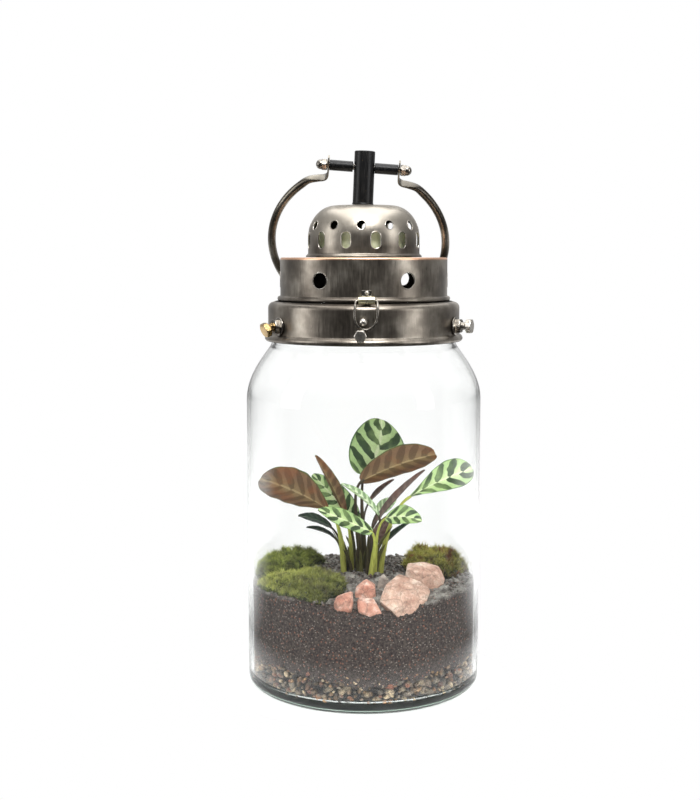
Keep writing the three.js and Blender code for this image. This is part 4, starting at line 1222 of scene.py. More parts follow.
@dataclass
class Soil:
    """The soil: a rough top, a side pressed against the glass, and an uneven foot among the pebbles."""

    rings: int = 60
    around: int = 480
    side_rows: int = 46
    foot: float = 17.5
    loose: int = 1500

    def skin(self) -> Skin:
        """The soil as one closed skin.

        Formula: the top is the ground plus two sizes of noise. The side is the fill's radius less small pits,
        and below an uneven line it steps back behind the pebbles.
        """
        a = np.arange(self.around) * TURN / self.around
        edge = np.stack([np.cos(a), np.sin(a)], -1)
        share = np.linspace(0, 1, self.rings + 1)[1:] ** 0.8
        level = np.zeros((self.rings, self.around, 1))
        top = np.concatenate([share[:, None, None] * edge[None] * FILL_R, level], -1)
        rough = 0.9 * wave_noise(top, 7, 21) + 0.7 * wave_noise(top, 2.6, 22)
        top[..., 2] = ground(top[..., 0], top[..., 1]) + rough
        fall = np.linspace(0, 1, self.side_rows + 1)[1:, None]
        z = top[-1, :, 2][None] * (1 - fall) + self.foot * fall
        x, y = (np.broadcast_to(FILL_R * edge[:, axis], z.shape) for axis in (0, 1))
        place = np.stack([x, y, z], -1)
        pits = 0.35 * np.abs(wave_noise(place, 3.0, 23)) + 0.25 * np.abs(wave_noise(place, 1.6, 24))
        sag = 6.5 * np.exp(-((place[..., 0] - 5) ** 2) / 1500) * (place[..., 1] < 0)
        rim = place * (1, 1, 0)
        line = 26.0 - sag + 2.4 * wave_noise(rim, 17, 25) + 1.4 * wave_noise(rim, 5, 26)
        back = 5.5 / (1 + np.exp((z - line) * 2.2))
        r = FILL_R - 0.02 - pits - back
        side = np.stack([r * edge[:, 0], r * edge[:, 1], z], -1)
        grid = np.concatenate([top, side])
        crown = float(ground(np.array(0.0), np.array(0.0)))
        points = np.concatenate([grid.reshape(-1, 3), [[0, 0, crown], [0, 0, self.foot]]])
        n, rows = self.around, len(grid)
        here, after = np.arange(n), (np.arange(n) + 1) % n
        last = len(points) - 2
        fans = [
            np.stack([np.full(n, last), here, after], -1),
            np.stack([np.full(n, last + 1), (rows - 1) * n + after, (rows - 1) * n + here], -1),
        ]
        skin = Skin(points, [lattice(rows, n, False, True)[:, ::-1], *fans]).facing_out()
        level = ground(points[:, 0], points[:, 1])
        skin.marks = {"dust": np.clip((points[:, 2] - level + 3) / 3, 0, 1) * (points[:, 1] > -70)}
        return skin

    def crumbs(self) -> Skin:
        """Loose crumbs on top of the soil, away from the stones."""
        draw = np.random.default_rng(31)
        a, r = draw.uniform(0, TURN, self.loose), (FILL_R - 3) * np.sqrt(draw.uniform(0, 1, self.loose))
        x, y = r * np.cos(a), r * np.sin(a)
        clear = (x < -26) | (x > 64) | (y > -20)
        x, y = x[clear], y[clear]
        size = draw.uniform(0.5, 1.7, len(x))
        return chips(np.stack([x, y, ground(x, y) + 0.5 * size + 0.4], -1), size, 32).dyed(dust=0.6)

    def build(self, finishes: Finishes) -> None:
        """Makes the soil."""
        skin = joined([self.skin(), self.crumbs()])
        dress(object_of("potting_soil", skin, 40), [finishes.soil], ["soil"])


@dataclass
class MossCushion:
    """A cushion of moss with its shoots.

    Attributes:
        name: the piece's name.
        node: the CAD node that it stands for.
        centre: the middle of its ellipse.
        half: the ellipse's half sizes.
        height: how far it bulges over the ground.
        turn: the ellipse's turn, in degrees.
        slot: the record's material slot; not used.
        seed: start of its random draws.
        clumps: how many clumps of shoots grow on it.
        length: the shortest and the longest shoot.
        bright: the place where it is freshest, and how far away it has faded.
    """

    name: str
    node: str
    centre: tuple[float, float]
    half: tuple[float, float]
    height: float
    turn: float
    slot: str
    seed: int
    clumps: int
    length: tuple[float, float]
    bright: tuple[float, float, float]

    def top(self, share: Array, angle: Array) -> Array:
        """Places on the cushion's top.

        Formula: over an ellipse whose rim wavers, the height is h (1 - share^2.4)^0.6 over the ground, with
        noise for its tufts.

        Args:
            share: how far out, from 0 at the centre to 1 at the rim.
            angle: direction in the cushion's own frame, in radians.

        Returns:
            The places, in millimetres.
        """
        c, s = math.cos(math.radians(self.turn)), math.sin(math.radians(self.turn))
        waver = 1 + 0.05 * np.sin(5 * angle + self.seed) + 0.04 * np.sin(9 * angle + 2 * self.seed)
        u = self.half[0] * share * waver * np.cos(angle)
        v = self.half[1] * share * waver * np.sin(angle)
        x, y = self.centre[0] + c * u - s * v, self.centre[1] + s * u + c * v
        inside = drawn_in(np.hypot(x, y), 0.8)
        x, y = x * inside, y * inside
        bulge = self.height * (1 - np.clip(share, 0, 1) ** 2.4) ** 0.6
        flat = np.stack([x, y, np.zeros_like(x)], -1)
        tufts = 2.2 * wave_noise(flat, 13, self.seed) + 1.3 * wave_noise(flat, 5, self.seed + 1)
        return np.stack([x, y, ground(x, y) + bulge + tufts * (1 - share**6) + 0.3], -1)

    def freshness(self, points: Array) -> Array:
        """How fresh the moss is at each place, from 1 near its bright place to 0, with patches."""
        x, y, fade = self.bright
        away = np.hypot(points[..., 0] - x, points[..., 1] - y) / fade
        return np.clip(1 - away + 0.22 * wave_noise(points * (1, 1, 0), 8, self.seed + 2), 0, 1)

    def cushion(self) -> Skin:
        """The cushion under the shoots, closed below."""
        rings, around = 22, 96
        share, angle = np.meshgrid(
            np.linspace(0.04, 1, rings), np.arange(around) * TURN / around, indexing="ij"
        )
        top = self.top(share, angle)
        foot = top[-1:] - (0, 0, 3.5)
        skin = tube_skin(np.concatenate([top, foot]))
        skin.marks = {"tip": np.full(len(skin.points), 0.1), "tint": 0.6 * self.freshness(skin.points)}
        return skin

    def spikes(self) -> Skin:
        """The shoots: three-sided spikes in clumps that spread from one root each.

        Formula: a clump leans out from the cushion in a random direction, and each of its shoots leaves it by
        a random amount, so that a clump has a bright head with dark gaps round it.
        """
        draw = np.random.default_rng(self.seed + 5)
        each = 12
        n = self.clumps * each
        share, angle = np.sqrt(draw.uniform(0, 1, self.clumps)), draw.uniform(0, TURN, self.clumps)
        heads = self.top(share, angle)
        lean = draw.normal(size=(self.clumps, 3)) * (0.5, 0.5, 0.15) + (0, 0, 0.8)
        tall = 0.6 + 1.1 * draw.uniform(0, 1, self.clumps) ** 2
        root = np.repeat(heads, each, 0) + draw.normal(size=(n, 3)) * (0.35, 0.35, 0.1)
        way = np.repeat(lean, each, 0) + draw.normal(size=(n, 3)) * 0.42
        way /= np.linalg.norm(way, axis=1, keepdims=True)
        way[:, 2] = np.abs(way[:, 2])
        side = np.cross(way, draw.normal(size=(n, 3)))
        side /= np.linalg.norm(side, axis=1, keepdims=True)
        other = np.cross(way, side)
        long = (draw.uniform(*self.length, n) * np.repeat(tall, each))[:, None]
        wide = draw.uniform(0.22, 0.42, n)[:, None]
        root = root - 0.5 * way
        base = [root + wide * (math.cos(a) * side + math.sin(a) * other) for a in (0, TURN / 3, 2 * TURN / 3)]
        tip = root + way * long
        tip[:, :2] *= drawn_in(np.hypot(tip[:, 0], tip[:, 1]), 0.2)[:, None]
        points = np.stack([*base, tip], 1)
        one = np.array([(0, 1, 3), (1, 2, 3), (2, 0, 3), (2, 1, 0)])
        faces = (one[None] + 4 * np.arange(n)[:, None, None]).reshape(-1, 3)
        grown = np.tile([0.15, 0.15, 0.15, 1.0], n)
        fresh = np.repeat(0.75 * self.freshness(heads) + 0.3 * draw.uniform(0, 1, self.clumps), each)
        tint = np.repeat(np.clip(fresh + 0.1 * draw.normal(size=n), 0, 1), 4)
        return Skin(points.reshape(-1, 3), [faces], marks={"tip": grown, "tint": tint}).facing_out()

    def build(self, finish: bpy.types.Material) -> None:
        """Makes the cushion."""
        skin = joined([self.cushion(), self.spikes()])
        dress(object_of(self.name, skin, 60), [finish], [self.node])


@dataclass
class GraniteStone:
    """A broken stone that fills its solid's form, with its edges worn and its faces rough."""

    node: str
    seed: int
    edge: float = 200.0
    chipped: int = 24

    def planes(self) -> tuple[Array, Array, Array]:
        """The solid's middle, and each of its planes as a direction and a distance from the middle."""
        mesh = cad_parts[self.node].data
        normals = np.array([p.normal[:] for p in mesh.polygons])
        centres = np.array([p.center[:] for p in mesh.polygons]) / MM
        middle = np.array([v.co[:] for v in mesh.vertices]).mean(0) / MM
        depth = (normals * (centres - middle)).sum(1)
        rows = np.unique(np.round(np.column_stack([normals, depth]), 2), axis=0)
        return middle, rows[:, :3], rows[:, 3]

    def skin(self) -> Skin:
        """The stone's surface.

        Formula: along a direction d the distance is the sum over the planes of (n.d / h)^p, to the power
        -1/p, which wears the edges between planes a little. Random planes chip the corners off, and two sizes
        of noise roughen the faces.
        """
        middle, normals, depth = self.planes()
        draw = np.random.default_rng(self.seed)
        chip = draw.normal(size=(self.chipped, 3))
        chip /= np.linalg.norm(chip, axis=1, keepdims=True)
        flat = np.radians(np.linspace(-90, 90, 13))
        probe = turned(np.stack([np.cos(flat), np.sin(flat)], -1), 24).points
        size = 1 / (np.maximum(probe @ normals.T, 0) / depth).max(1)
        farthest = (probe * size[:, None] @ chip.T).max(0)
        normals = np.concatenate([normals, chip])
        depth = np.concatenate([depth, farthest * draw.uniform(0.88, 0.98, self.chipped)])
        latitude = np.radians(np.linspace(-90, 90, 111))
        ball = turned(np.stack([np.cos(latitude), np.sin(latitude)], -1), 180)
        ways = ball.points
        facing = np.maximum(ways @ normals.T / depth, 0)
        reach = (facing**self.edge).sum(1) ** (-1 / self.edge)
        base = middle + ways * reach[:, None]
        rough = 0.1 * wave_noise(base, 3, self.seed) + 0.16 * np.abs(wave_noise(base, 1.5, self.seed + 1))
        ball.points = middle + ways * (reach + rough)[:, None]
        return ball

    def build(self, finish: bpy.types.Material) -> None:
        """Makes the stone."""
        dress(object_of("granite_" + self.node[6:], self.skin(), 16), [finish], [self.node])


@dataclass
class Filling:
    """All that lies in the jar under the plant."""

    def build(self, finishes: Finishes) -> None:
        """Makes the gravel, the soil, the moss and the stones."""
        Gravel().build(finishes)
        Soil().build(finishes)
        bright = MossCushion(
            "moss_bright_shoots", "moss_bright", (-47, -38), (33, 37), 5.5, 8, "bright_moss", 3, 1900,
            (2.0, 4.6), (-66, -16, 62)
        )
        dark = MossCushion(
            "moss_dark_shoots", "moss_dark", (-61, 27), (38, 21), 11, 60, "dark_moss", 5, 1500, (2.2, 5.4),
            (-72, 20, 46)
        )
        right = MossCushion(
            "moss_right_shoots", "moss_right", (57, 15), (25, 30), 15, 10, "dark_moss", 9, 1300, (2.2, 5.6),
            (42, 20, 46)
        )
        bright.build(finishes.bright_moss)
        dark.build(finishes.dark_moss)
        right.build(finishes.mixed_moss)
        pink, red, grey = finishes.pink_granite, finishes.red_granite, finishes.grey_granite
        stones = {"large": pink, "upper": pink, "left": red, "middle": red, "wedge": red, "grey": grey}
        for i, (end, finish) in enumerate(stones.items()):
            GraniteStone("stone_" + end, 40 + 3 * i).build(finish)


# ---------- plant
class Stalk(Enum):
    """The colour of a leaf's stalk."""

    GREEN = "green"
    DARK = "dark"


class Tone(Enum):
    """The colours of a leaf's blade."""

    STRIPED = "green above with dark stripes, brown below"
    DUSK = "brown on both faces"
    # Painted shade: leaves in shadow carry their darkness in their colours.
    SHADE = "dark green on both faces"
    PALE = "pale above, brown below"


DARK = Stalk.DARK
STRIPED, DUSK, SHADE, PALE = Tone


@dataclass
class Leaf:
    """A leaf and its stalk.

    Attributes:
        name: what follows the first word in its CAD node's name.
        root: where the stalk enters the soil.
        base: where the blade starts.
        tip: where it ends.
        width: the blade's greatest width.
        face: the side that the upper face looks to.
        bow: how far the midrib bends towards that side.
        lift: how far the edges rise, as a share of half the width.
        stem: the stalk's radius.
        pairs: how many stripes lie along each half.
        stalk: the stalk's colour.
        tone: the blade's colours.
        sway: how far the midrib bends to the side.
        peak: above 0.9 the blade is widest nearer to its tip.
        blunt: the lower, the blunter the blade's outline.
    """

    name: str
    root: tuple[float, float]
    base: tuple[float, float, float]
    tip: tuple[float, float, float]
    width: float
    face: tuple[float, float, float]
    bow: float
    lift: float
    stem: float
    pairs: int
    stalk: Stalk = Stalk.GREEN
    tone: Tone = Tone.STRIPED
    sway: float = 0.0
    peak: float = 0.9
    blunt: float = 0.62

    def directions(self) -> tuple[Array, Array, Array, float]:
        """The blade's way along its midrib, up from its face and to its side, and its length."""
        along = np.subtract(self.tip, self.base)
        length = float(np.linalg.norm(along))
        along = along / length
        up = np.asarray(self.face, float) - np.dot(self.face, along) * along
        up /= np.linalg.norm(up)
        return along, up, np.cross(along, up), length

    def blade(self) -> Skin:
        """The blade as one thin closed skin.

        Formula: at a share t along and s across, the half width is w/2 sin(pi t^peak)^blunt, the midrib bows
        by 4 b t (1 - t) and sways by as much of the sway, the edge rises by lift |s|^1.5 and waves near the
        margin, the veins ripple the face along the stripes, and the midrib is a groove above and a rib below.
        """
        along, up, side, length = self.directions()
        steps, half_cols = 64, 16
        cols = 2 * half_cols
        t, s = np.meshgrid(np.linspace(0, 1, steps + 1), np.linspace(-1, 1, cols + 1), indexing="ij")
        rounded = np.sin(np.pi * (0.015 + 0.975 * t) ** self.peak) ** self.blunt
        half = np.maximum(0.35, self.width / 2 * rounded)
        swept_on = 0.34 * self.width / (length / self.pairs) * np.abs(s) ** 1.15
        stripe = self.pairs * t - swept_on + 0.25 * (s > 0)
        wave = 0.05 * half * np.sin(9 * t + 2 * s) * np.abs(s) ** 3 + 0.02 * half * np.sin(31 * t + s) * s**6
        veins = 0.012 * self.width * np.cos(TURN * stripe) * np.sin(np.pi * np.abs(s)) * np.sin(np.pi * t)
        level = self.lift * half * np.abs(s) ** 1.5 + wave + veins
        thick = 0.3 * (1 - s**8) + 0.06
        groove = 0.35 * np.exp(-((s * half / 0.7) ** 2))
        bend = (4 * t * (1 - t))[..., None]
        straight = np.asarray(self.base) + along * length * t[..., None]
        middle = straight + (up * self.bow + side * self.sway) * bend
        flat = middle + side * (s * half)[..., None]
        upper = flat + up * (level + thick - groove)[..., None]
        lower = flat + up * (level - thick - 1.4 * groove)[..., None]
        count = upper.shape[0] * upper.shape[1]
        faces = lattice(steps + 1, cols + 1, False, False)
        row = np.arange(steps + 1) * (cols + 1)
        rims = []
        for edge in (0, cols):
            a, b = row[:-1] + edge, row[1:] + edge
            rim = np.stack([a, b, b + count, a + count], -1)
            rims.append(rim if edge == 0 else rim[:, ::-1])
        for end in (0, steps):
            a = end * (cols + 1) + np.arange(cols)
            rim = np.stack([a, a + 1, a + 1 + count, a + count], -1)
            rims.append(rim[:, ::-1] if end == 0 else rim)
        marks = {"across": np.abs(s), "stripe": stripe, "rise": t}
        both = {name: np.concatenate([value.ravel()] * 2) for name, value in marks.items()}
        points = np.concatenate([upper.reshape(-1, 3), lower.reshape(-1, 3)])
        return Skin(points, [faces, faces[:, ::-1] + count, *rims], [0, 1, 0, 0, 0, 0], both).facing_out()

    def stem_skin(self) -> Skin:
        """The stalk: a round section along a cubic curve, with a fleshy sheath round its lower half."""
        along = self.directions()[0]
        start, foot = np.asarray(self.base, float), np.array([*self.root, STEM_FOOT])
        reach = float(np.linalg.norm(start - foot))
        handles = (foot, foot + (0, 0, 0.5 * reach), start - 0.15 * reach * along, start + 3 * along)
        path = bezier(handles, 40)
        rise = np.linspace(0, 1, len(path))
        sheath = 0.75 / (1 + np.exp((rise - 0.5) * 14))
        radius = self.stem * (1.0 - 0.25 * rise + sheath + 0.12 * np.exp(-(((rise - 0.93) / 0.05) ** 2)))
        section = circle(1, 14)[None] * radius[:, None, None]
        reference = (1, 0, 0) if abs(along[0]) < 0.8 else (0, 1, 0)
        skin = swept(path, section, reference)
        skin.marks = {"rise": np.repeat(rise, 14)}
        return skin.in_slot(2)

    def build(self, finishes: Finishes) -> None:
        """Makes the leaf."""
        faces = {
            Tone.STRIPED: (finishes.striped, finishes.under),
            Tone.DUSK: (finishes.dusk, finishes.dusk),
            Tone.SHADE: (finishes.shade, finishes.shade),
            Tone.PALE: (finishes.pale, finishes.under),
        }[self.tone]
        stalk = finishes.dark_stalk if self.stalk is Stalk.DARK else finishes.green_stalk
        skin = joined([self.blade(), self.stem_skin()])
        dress(object_of("blade_" + self.name, skin, 50), [*faces, stalk], ["leaf_" + self.name])


LEAVES = (
    Leaf(
        "top", (1, 8), (0, 5, 161), (14, 13, 204), 44, (0, -1, 0.2), 2, -0.1, 1.3, 4, DARK, STRIPED, 4.5,
        0.95, 0.5
    ),
    Leaf(
        "brown_right", (-1, -3), (-2, -4, 158), (55, -14, 181), 27, (0.1, 0.85, 0.5), 4, 0.3, 1.3, 6, DARK,
        peak=1.15, blunt=0.4,
    ),
    Leaf(
        "right", (13, -5), (34, -10, 146), (84.2, -6, 168.5), 27, (-0.3, -0.8, 0.6), 3, 0.2, 1.3, 5,
        peak=2.2, blunt=0.55,
    ),
    Leaf("right_small", (9, -10), (17, -18, 132), (44, -28, 132), 20, (0, -0.6, 0.8), 3, 0.2, 1.0, 4),
    Leaf(
        "brown_left", (-15, -6), (-27, -12, 138), (-78, -22, 163), 40, (0, 0.8, 0.6), 3, 0.15, 1.4, 6,
        peak=1.6, blunt=0.5,
    ),
    Leaf("purple_left", (-9, -3), (-14, -4, 132), (-37, -9, 179), 11, (0.5, 0.8, 0.3), 2, 0.4, 1.1, 7),
    Leaf("back_left", (-7, 3), (-4, 4, 120), (-40, 9, 161), 23, (0.3, -0.9, 0.2), 3, 0.2, 1.2, 7, DARK),
    Leaf("front", (5, -13), (7, -20, 121), (-34, -32, 141), 20, (0, -0.55, 0.85), 0.5, 0.15, 1.3, 5),
    Leaf(
        "dark_left", (-14, 4), (-25, 4, 120), (-51, 0, 130), 12, (0, -0.4, 0.9), 2, 0.2, 1.0, 6, DARK, SHADE
    ),
    Leaf(
        "low_left", (-15, 10), (-23, 10, 111), (-45, 9, 119), 7, (0, -0.3, 1), 1.5, 0.3, 0.9, 6, DARK, SHADE
    ),
    Leaf(
        "young_back", (0, 13), (4, 12, 138), (24, 16, 156), 6, (-0.5, -0.5, 0.7), 1, 0.5, 0.9, 6, DARK, DUSK
    ),
    Leaf(
        "young_right", (6, -5), (8, -6, 124), (47, -10, 168), 8, (-0.6, -0.5, 0.6), 2, 0.5, 1.0, 9, DARK,
        DUSK
    ),
    Leaf("low_brown", (8, 6), (8, 8, 106), (22, 14, 128), 12, (0.3, 0.9, 0.3), 2, 0.2, 1.0, 6, DARK, DUSK),
    Leaf(
        "low_right", (15, 1), (15, 2, 106), (37, 2, 125), 6, (-0.4, -0.5, 0.7), 1.5, 0.4, 0.9, 6, DARK, SHADE
    ),
    Leaf("back_right", (7, 16), (10, 16, 128), (26, 19, 140), 11, (0, -0.7, 0.6), 2, 0.2, 0.9, 5, DARK, PALE),
    Leaf(
        "folded", (3, -8), (12, -13, 133), (-17, -15, 158), 10, (0.3, -0.4, 0.9), 3, 0.25, 1.0, 7, DARK, PALE
    ),
)


@dataclass
class Plant:
    """The prayer plant."""

    leaves: tuple[Leaf, ...] = LEAVES
    sheath_count: int = 26

    def crown(self) -> Skin:
        """The dark sheaths of old and young leaves, close together round the stalks; their dark colour is
        partly painted shade in the dense crown.

        Formula: each is a tapering tube on a cubic curve from the soil, and leans out more the further it
        stands from the middle.
        """
        draw = np.random.default_rng(61)
        sheaths = []
        for i in range(self.sheath_count):
            a, r = i * 2.4, 3.0 + 12.0 * math.sqrt((i + 0.5) / self.sheath_count)
            root = np.array([r * math.cos(a), 0.8 * r * math.sin(a) + 1, STEM_FOOT + 9])
            tall = draw.uniform(20, 46)
            out = np.array([math.cos(a), math.sin(a), 0]) * draw.uniform(0.1, 0.42) * tall
            bow = root + (0, 0, 0.5 * tall)
            path = bezier((root, bow, bow + 0.4 * out + (0, 0, 0.2 * tall), root + out + (0, 0, tall)), 14)
            rise = np.linspace(0, 1, len(path))
            radius = draw.uniform(1.0, 2.0) * (1 - rise**1.6) ** 0.5 + 0.12
            section = circle(1, 10)[None] * radius[:, None, None] * (1, 0.7)
            skin = swept(path, section, (math.cos(a + 1), math.sin(a + 1), 0.1))
            skin.marks = {"rise": np.repeat(0.3 * rise + draw.uniform(-0.1, 0.6), 10)}
            sheaths.append(skin)
        return joined(sheaths)

    def build(self, finishes: Finishes) -> None:
        """Makes every leaf and the crown of sheaths."""
        for leaf in self.leaves:
            leaf.build(finishes)
        dress(object_of("crown_sheaths", self.crown(), 50), [finishes.sheath], ["leaf_low_brown"])


# ---------- lid
def rolled_rim(azimuth: float, edge: Array, surface: Callable[[Array], Array], radius: float = 0.4) -> Skin:
    """The rubbed edge of a hole, bright with wear and with a painted edge highlight: a thin bead that follows
    the hole's outline over the lid's surface.

    Args:
        azimuth: the hole's direction, in degrees from the front.
        edge: the hole's outline, rows of distance aside and height.
        surface: the lid's outer radius at a height.
        radius: the bead's radius.

    Returns:
        A closed skin.
    """
    out = np.sqrt(surface(edge[:, 1]) ** 2 - edge[:, 0] ** 2) - 0.15
    path = edge[:, :1] * sideways(azimuth) + out[:, None] * outward(azimuth) + edge[:, 1:] * (0, 0, 1)
    return swept(path, circle(radius, 8), outward(azimuth), closed=True)


def slot_outline(radius: float, half: float, z: float, steps: int = 20) -> Array:
    """An upright slot's outline: two half circles and the straight sides between them."""
    upper = arc((0, z + half), radius, 0, 180, steps)
    lower = arc((0, z - half), radius, 180, 360, steps)
    return np.concatenate([upper, lower])


def radial_cutter(azimuth: float, edge: Array, low: float, high: float) -> Skin:
    """A prism with the outline of a hole, pointing out of the lid."""
    flat = edge[:, :1] * sideways(azimuth) + edge[:, 1:] * (0, 0, 1)
    return tube_skin(np.stack([flat + outward(azimuth) * low, flat + outward(azimuth) * high]))


def paint_shade_inside(made: bpy.types.Object, low: float, high: float, ledge: float) -> None:
    """Gives the second finish, a dark dull metal that paints the shade, to the faces of a lid's ring that
    daylight hardly reaches.

    These are the faces that look towards the axis or down, those under a height, and those that look up
    between a height and a radius.

    Args:
        made: the ring, about the z axis.
        low: faces under this height count, in millimetres.
        high: level faces over this height count where they are inside the ledge.
        ledge: the radius of the ledge.
    """
    middle, normal = of_faces(made, "center") / MM, of_faces(made, "normal")
    reach = np.hypot(middle[:, 0], middle[:, 1])
    out = (middle[:, :2] * normal[:, :2]).sum(1) / np.maximum(reach, 1e-6)
    inner = (out < -0.25) | (normal[:, 2] < -0.7) | (middle[:, 2] < low)
    top = (middle[:, 2] > high) & (normal[:, 2] > 0.5) & (reach < ledge)
    made.data.polygons.foreach_set("material_index", (inner | top).astype(np.int32))


@dataclass
class Collar:
    """The lid's lower ring: a rolled bead, an upright wall and a shoulder under the drum."""

    radius: float = 73.2
    sheet: float = 1.4

    def skin(self) -> Skin:
        """The sheet as one ring."""
        r, z, top = self.radius, COLLAR_Z, COLLAR_TOP
        inner = r - self.sheet
        profile = [
            (inner, z + 0.6), (r + 1.6, z), (r + 2.9, z + 2.4), (r + 1.6, z + 4.8), (r, z + 5.4),
            (r, top - 3.8), (r - 1.6, top - 1.4), (r - 6, top), (61, top), (61, top - self.sheet),
            (inner - 2, top - self.sheet), (inner, top - 4),
        ]
        return turned(eased(profile, 1.5, 5, True), 256, ring=True)

    def build(self, finishes: Finishes, screws: Sequence[Screw]) -> None:
        """Makes the collar with a hole for each screw."""
        made = object_of("collar_ring", self.skin())
        holes = []
        for screw in screws:
            edge = slot_outline(screw.shank + GAP, 0.01, screw.z, 14)
            holes.append(radial_cutter(screw.azimuth, edge, self.radius - 4, self.radius + 6))
        # The collar's inward and downward faces and its inner top ledge get painted shade.
        paint_shade_inside(drilled(made, holes), COLLAR_Z - 1, COLLAR_TOP - 0.6, self.radius - 5.2)
        dress(made, [finishes.pewter, finishes.painted_shade_inside], ["collar"])


@dataclass
class Drum:
    """The lid's upper ring with its round vents and its flat top."""

    radius: float = 63.8
    sheet: float = 1.4
    mouth: float = 38.0
    hole: float = 6.0
    hole_z: float = 313.6
    azimuths: tuple[float, ...] = (-30, 30, 90, 150, 270)

    def skin(self) -> Skin:
        """The sheet as one ring."""
        r, z, top = self.radius, DRUM_Z, DRUM_TOP
        inner = r - self.sheet
        profile = [
            (inner, z), (r + 1.7, z), (r + 2.4, z + 1.6), (r + 1.7, z + 3.2), (r, z + 3.6), (r, top - 0.8),
            (r - 0.8, top), (self.mouth, top), (self.mouth, top - self.sheet), (inner, top - self.sheet),
        ]
        return turned(eased(profile, 0.7, 5, True), 256, ring=True)

    def build(self, finishes: Finishes) -> None:
        """Makes the drum, its holes and their rims."""
        edge = slot_outline(self.hole, 0.01, self.hole_z, 24)
        holes = [radial_cutter(a, edge, self.radius - 5, self.radius + 4) for a in self.azimuths]
        shell = drilled(object_of("vent_drum", self.skin()), holes)
        # The drum's inward faces and its lowest band over the collar get painted shade.
        paint_shade_inside(shell, DRUM_Z + 0.5, DRUM_TOP + 1, 0)
        dress(shell, [finishes.copper_seam_highlight, finishes.painted_shade_inside], ["drum"])
        rims = [rolled_rim(a, edge, lambda z: np.full_like(z, self.radius)) for a in self.azimuths]
        dress(object_of("vent_drum_hole_rims", joined(rims)), [finishes.rim], ["drum"])


@dataclass
class Dome:
    """The pierced dome: a row of upright slots under a row of round holes."""

    radius: float = 42.5
    wall_top: float = 345.0
    bend: float = 21.0
    sheet: float = 1.2
    hole: float = 3.4
    hole_z: float = 354.1
    hole_start: float = -2.5
    slot: float = 3.8
    slot_half: float = 2.5
    slot_z: float = 343.1
    slot_start: float = 12.0
    count: int = 12

    def surface(self, z: Array) -> Array:
        """The outer radius at a height: the wall's, and above it a quarter ellipse's."""
        above = np.clip((z - self.wall_top) / (DOME_TOP - self.wall_top), 0, 1)
        return self.radius - self.bend * (1 - np.sqrt(1 - above**2))

    def shoulder(self, inset: float) -> Array:
        """The shoulder: a quarter ellipse from the wall to the top, moved in by a sheet's thickness."""
        a = np.radians(np.linspace(0, 90, 29))[:, None]
        middle = np.array([self.radius - self.bend, self.wall_top])
        half = np.array([self.bend, DOME_TOP - self.wall_top]) - inset
        return middle + half * np.hstack([np.cos(a), np.sin(a)])

    def skin(self) -> Skin:
        """The sheet with its foot ring."""
        r, foot = self.radius, DRUM_TOP + GAP
        ring = eased(
            [(r - self.sheet, foot), (r + 1.7, foot), (r + 1.7, foot + 1), (r, foot + 2.6), (r, foot + 5)],
            0.6
        )
        outside = np.concatenate([ring, self.shoulder(0), [(0, DOME_TOP)]])[::-1]
        inside = np.concatenate([self.shoulder(self.sheet), [(0, DOME_TOP - self.sheet)]])
        return turned(np.concatenate([outside, inside]), 240)

    def build(self, finishes: Finishes) -> None:
        """Makes the dome, its openings and their rims."""
        hole = slot_outline(self.hole, 0.01, self.hole_z, 16)
        slot = slot_outline(self.slot, self.slot_half, self.slot_z, 16)
        turns = [360 * i / self.count for i in range(self.count)]
        cuts = [(self.hole_start + a, hole) for a in turns] + [(self.slot_start + a, slot) for a in turns]
        tools = [radial_cutter(a, edge, self.radius - 8, self.radius + 3) for a, edge in cuts]
        shell = drilled(object_of("pierced_dome", self.skin()), tools)
        # The dome's inward and downward faces get painted shade.
        paint_shade_inside(shell, DRUM_TOP, DOME_TOP + 1, 0)
        # The dome's outside carries a painted highlight on its top.
        dress(shell, [finishes.highlight_pewter, finishes.painted_shade_inside], ["dome"])
        rims = joined([rolled_rim(a, edge, self.surface, 0.28) for a, edge in cuts])
        dress(object_of("pierced_dome_rims", rims), [finishes.rim], ["dome"])


@dataclass
class FrostedInsert:
    """The frosted cup whose rim rests on the drum inside the dome."""

    radius: float = 36.0
    wall: float = 1.2
    top: float = 349.6
    hang: float = 7.4
    rim_radius: float = 40.4
    rim: float = 1.0

    def build(self, finishes: Finishes) -> None:
        """Makes the cup."""
        r, seat, foot = self.radius, DRUM_TOP + GAP, DRUM_TOP - self.hang
        profile = [
            (0, self.top - self.wall), (r - self.wall, self.top - self.wall), (r - self.wall, foot),
            (r, foot), (r, seat), (self.rim_radius, seat), (self.rim_radius, seat + self.rim),
            (r, seat + self.rim), (r, self.top), (0, self.top),
        ]
        made = object_of("frosted_insert", turned(eased(profile, 1.0), 128))
        dress(made, [finishes.cup], ["light_diffuser"])


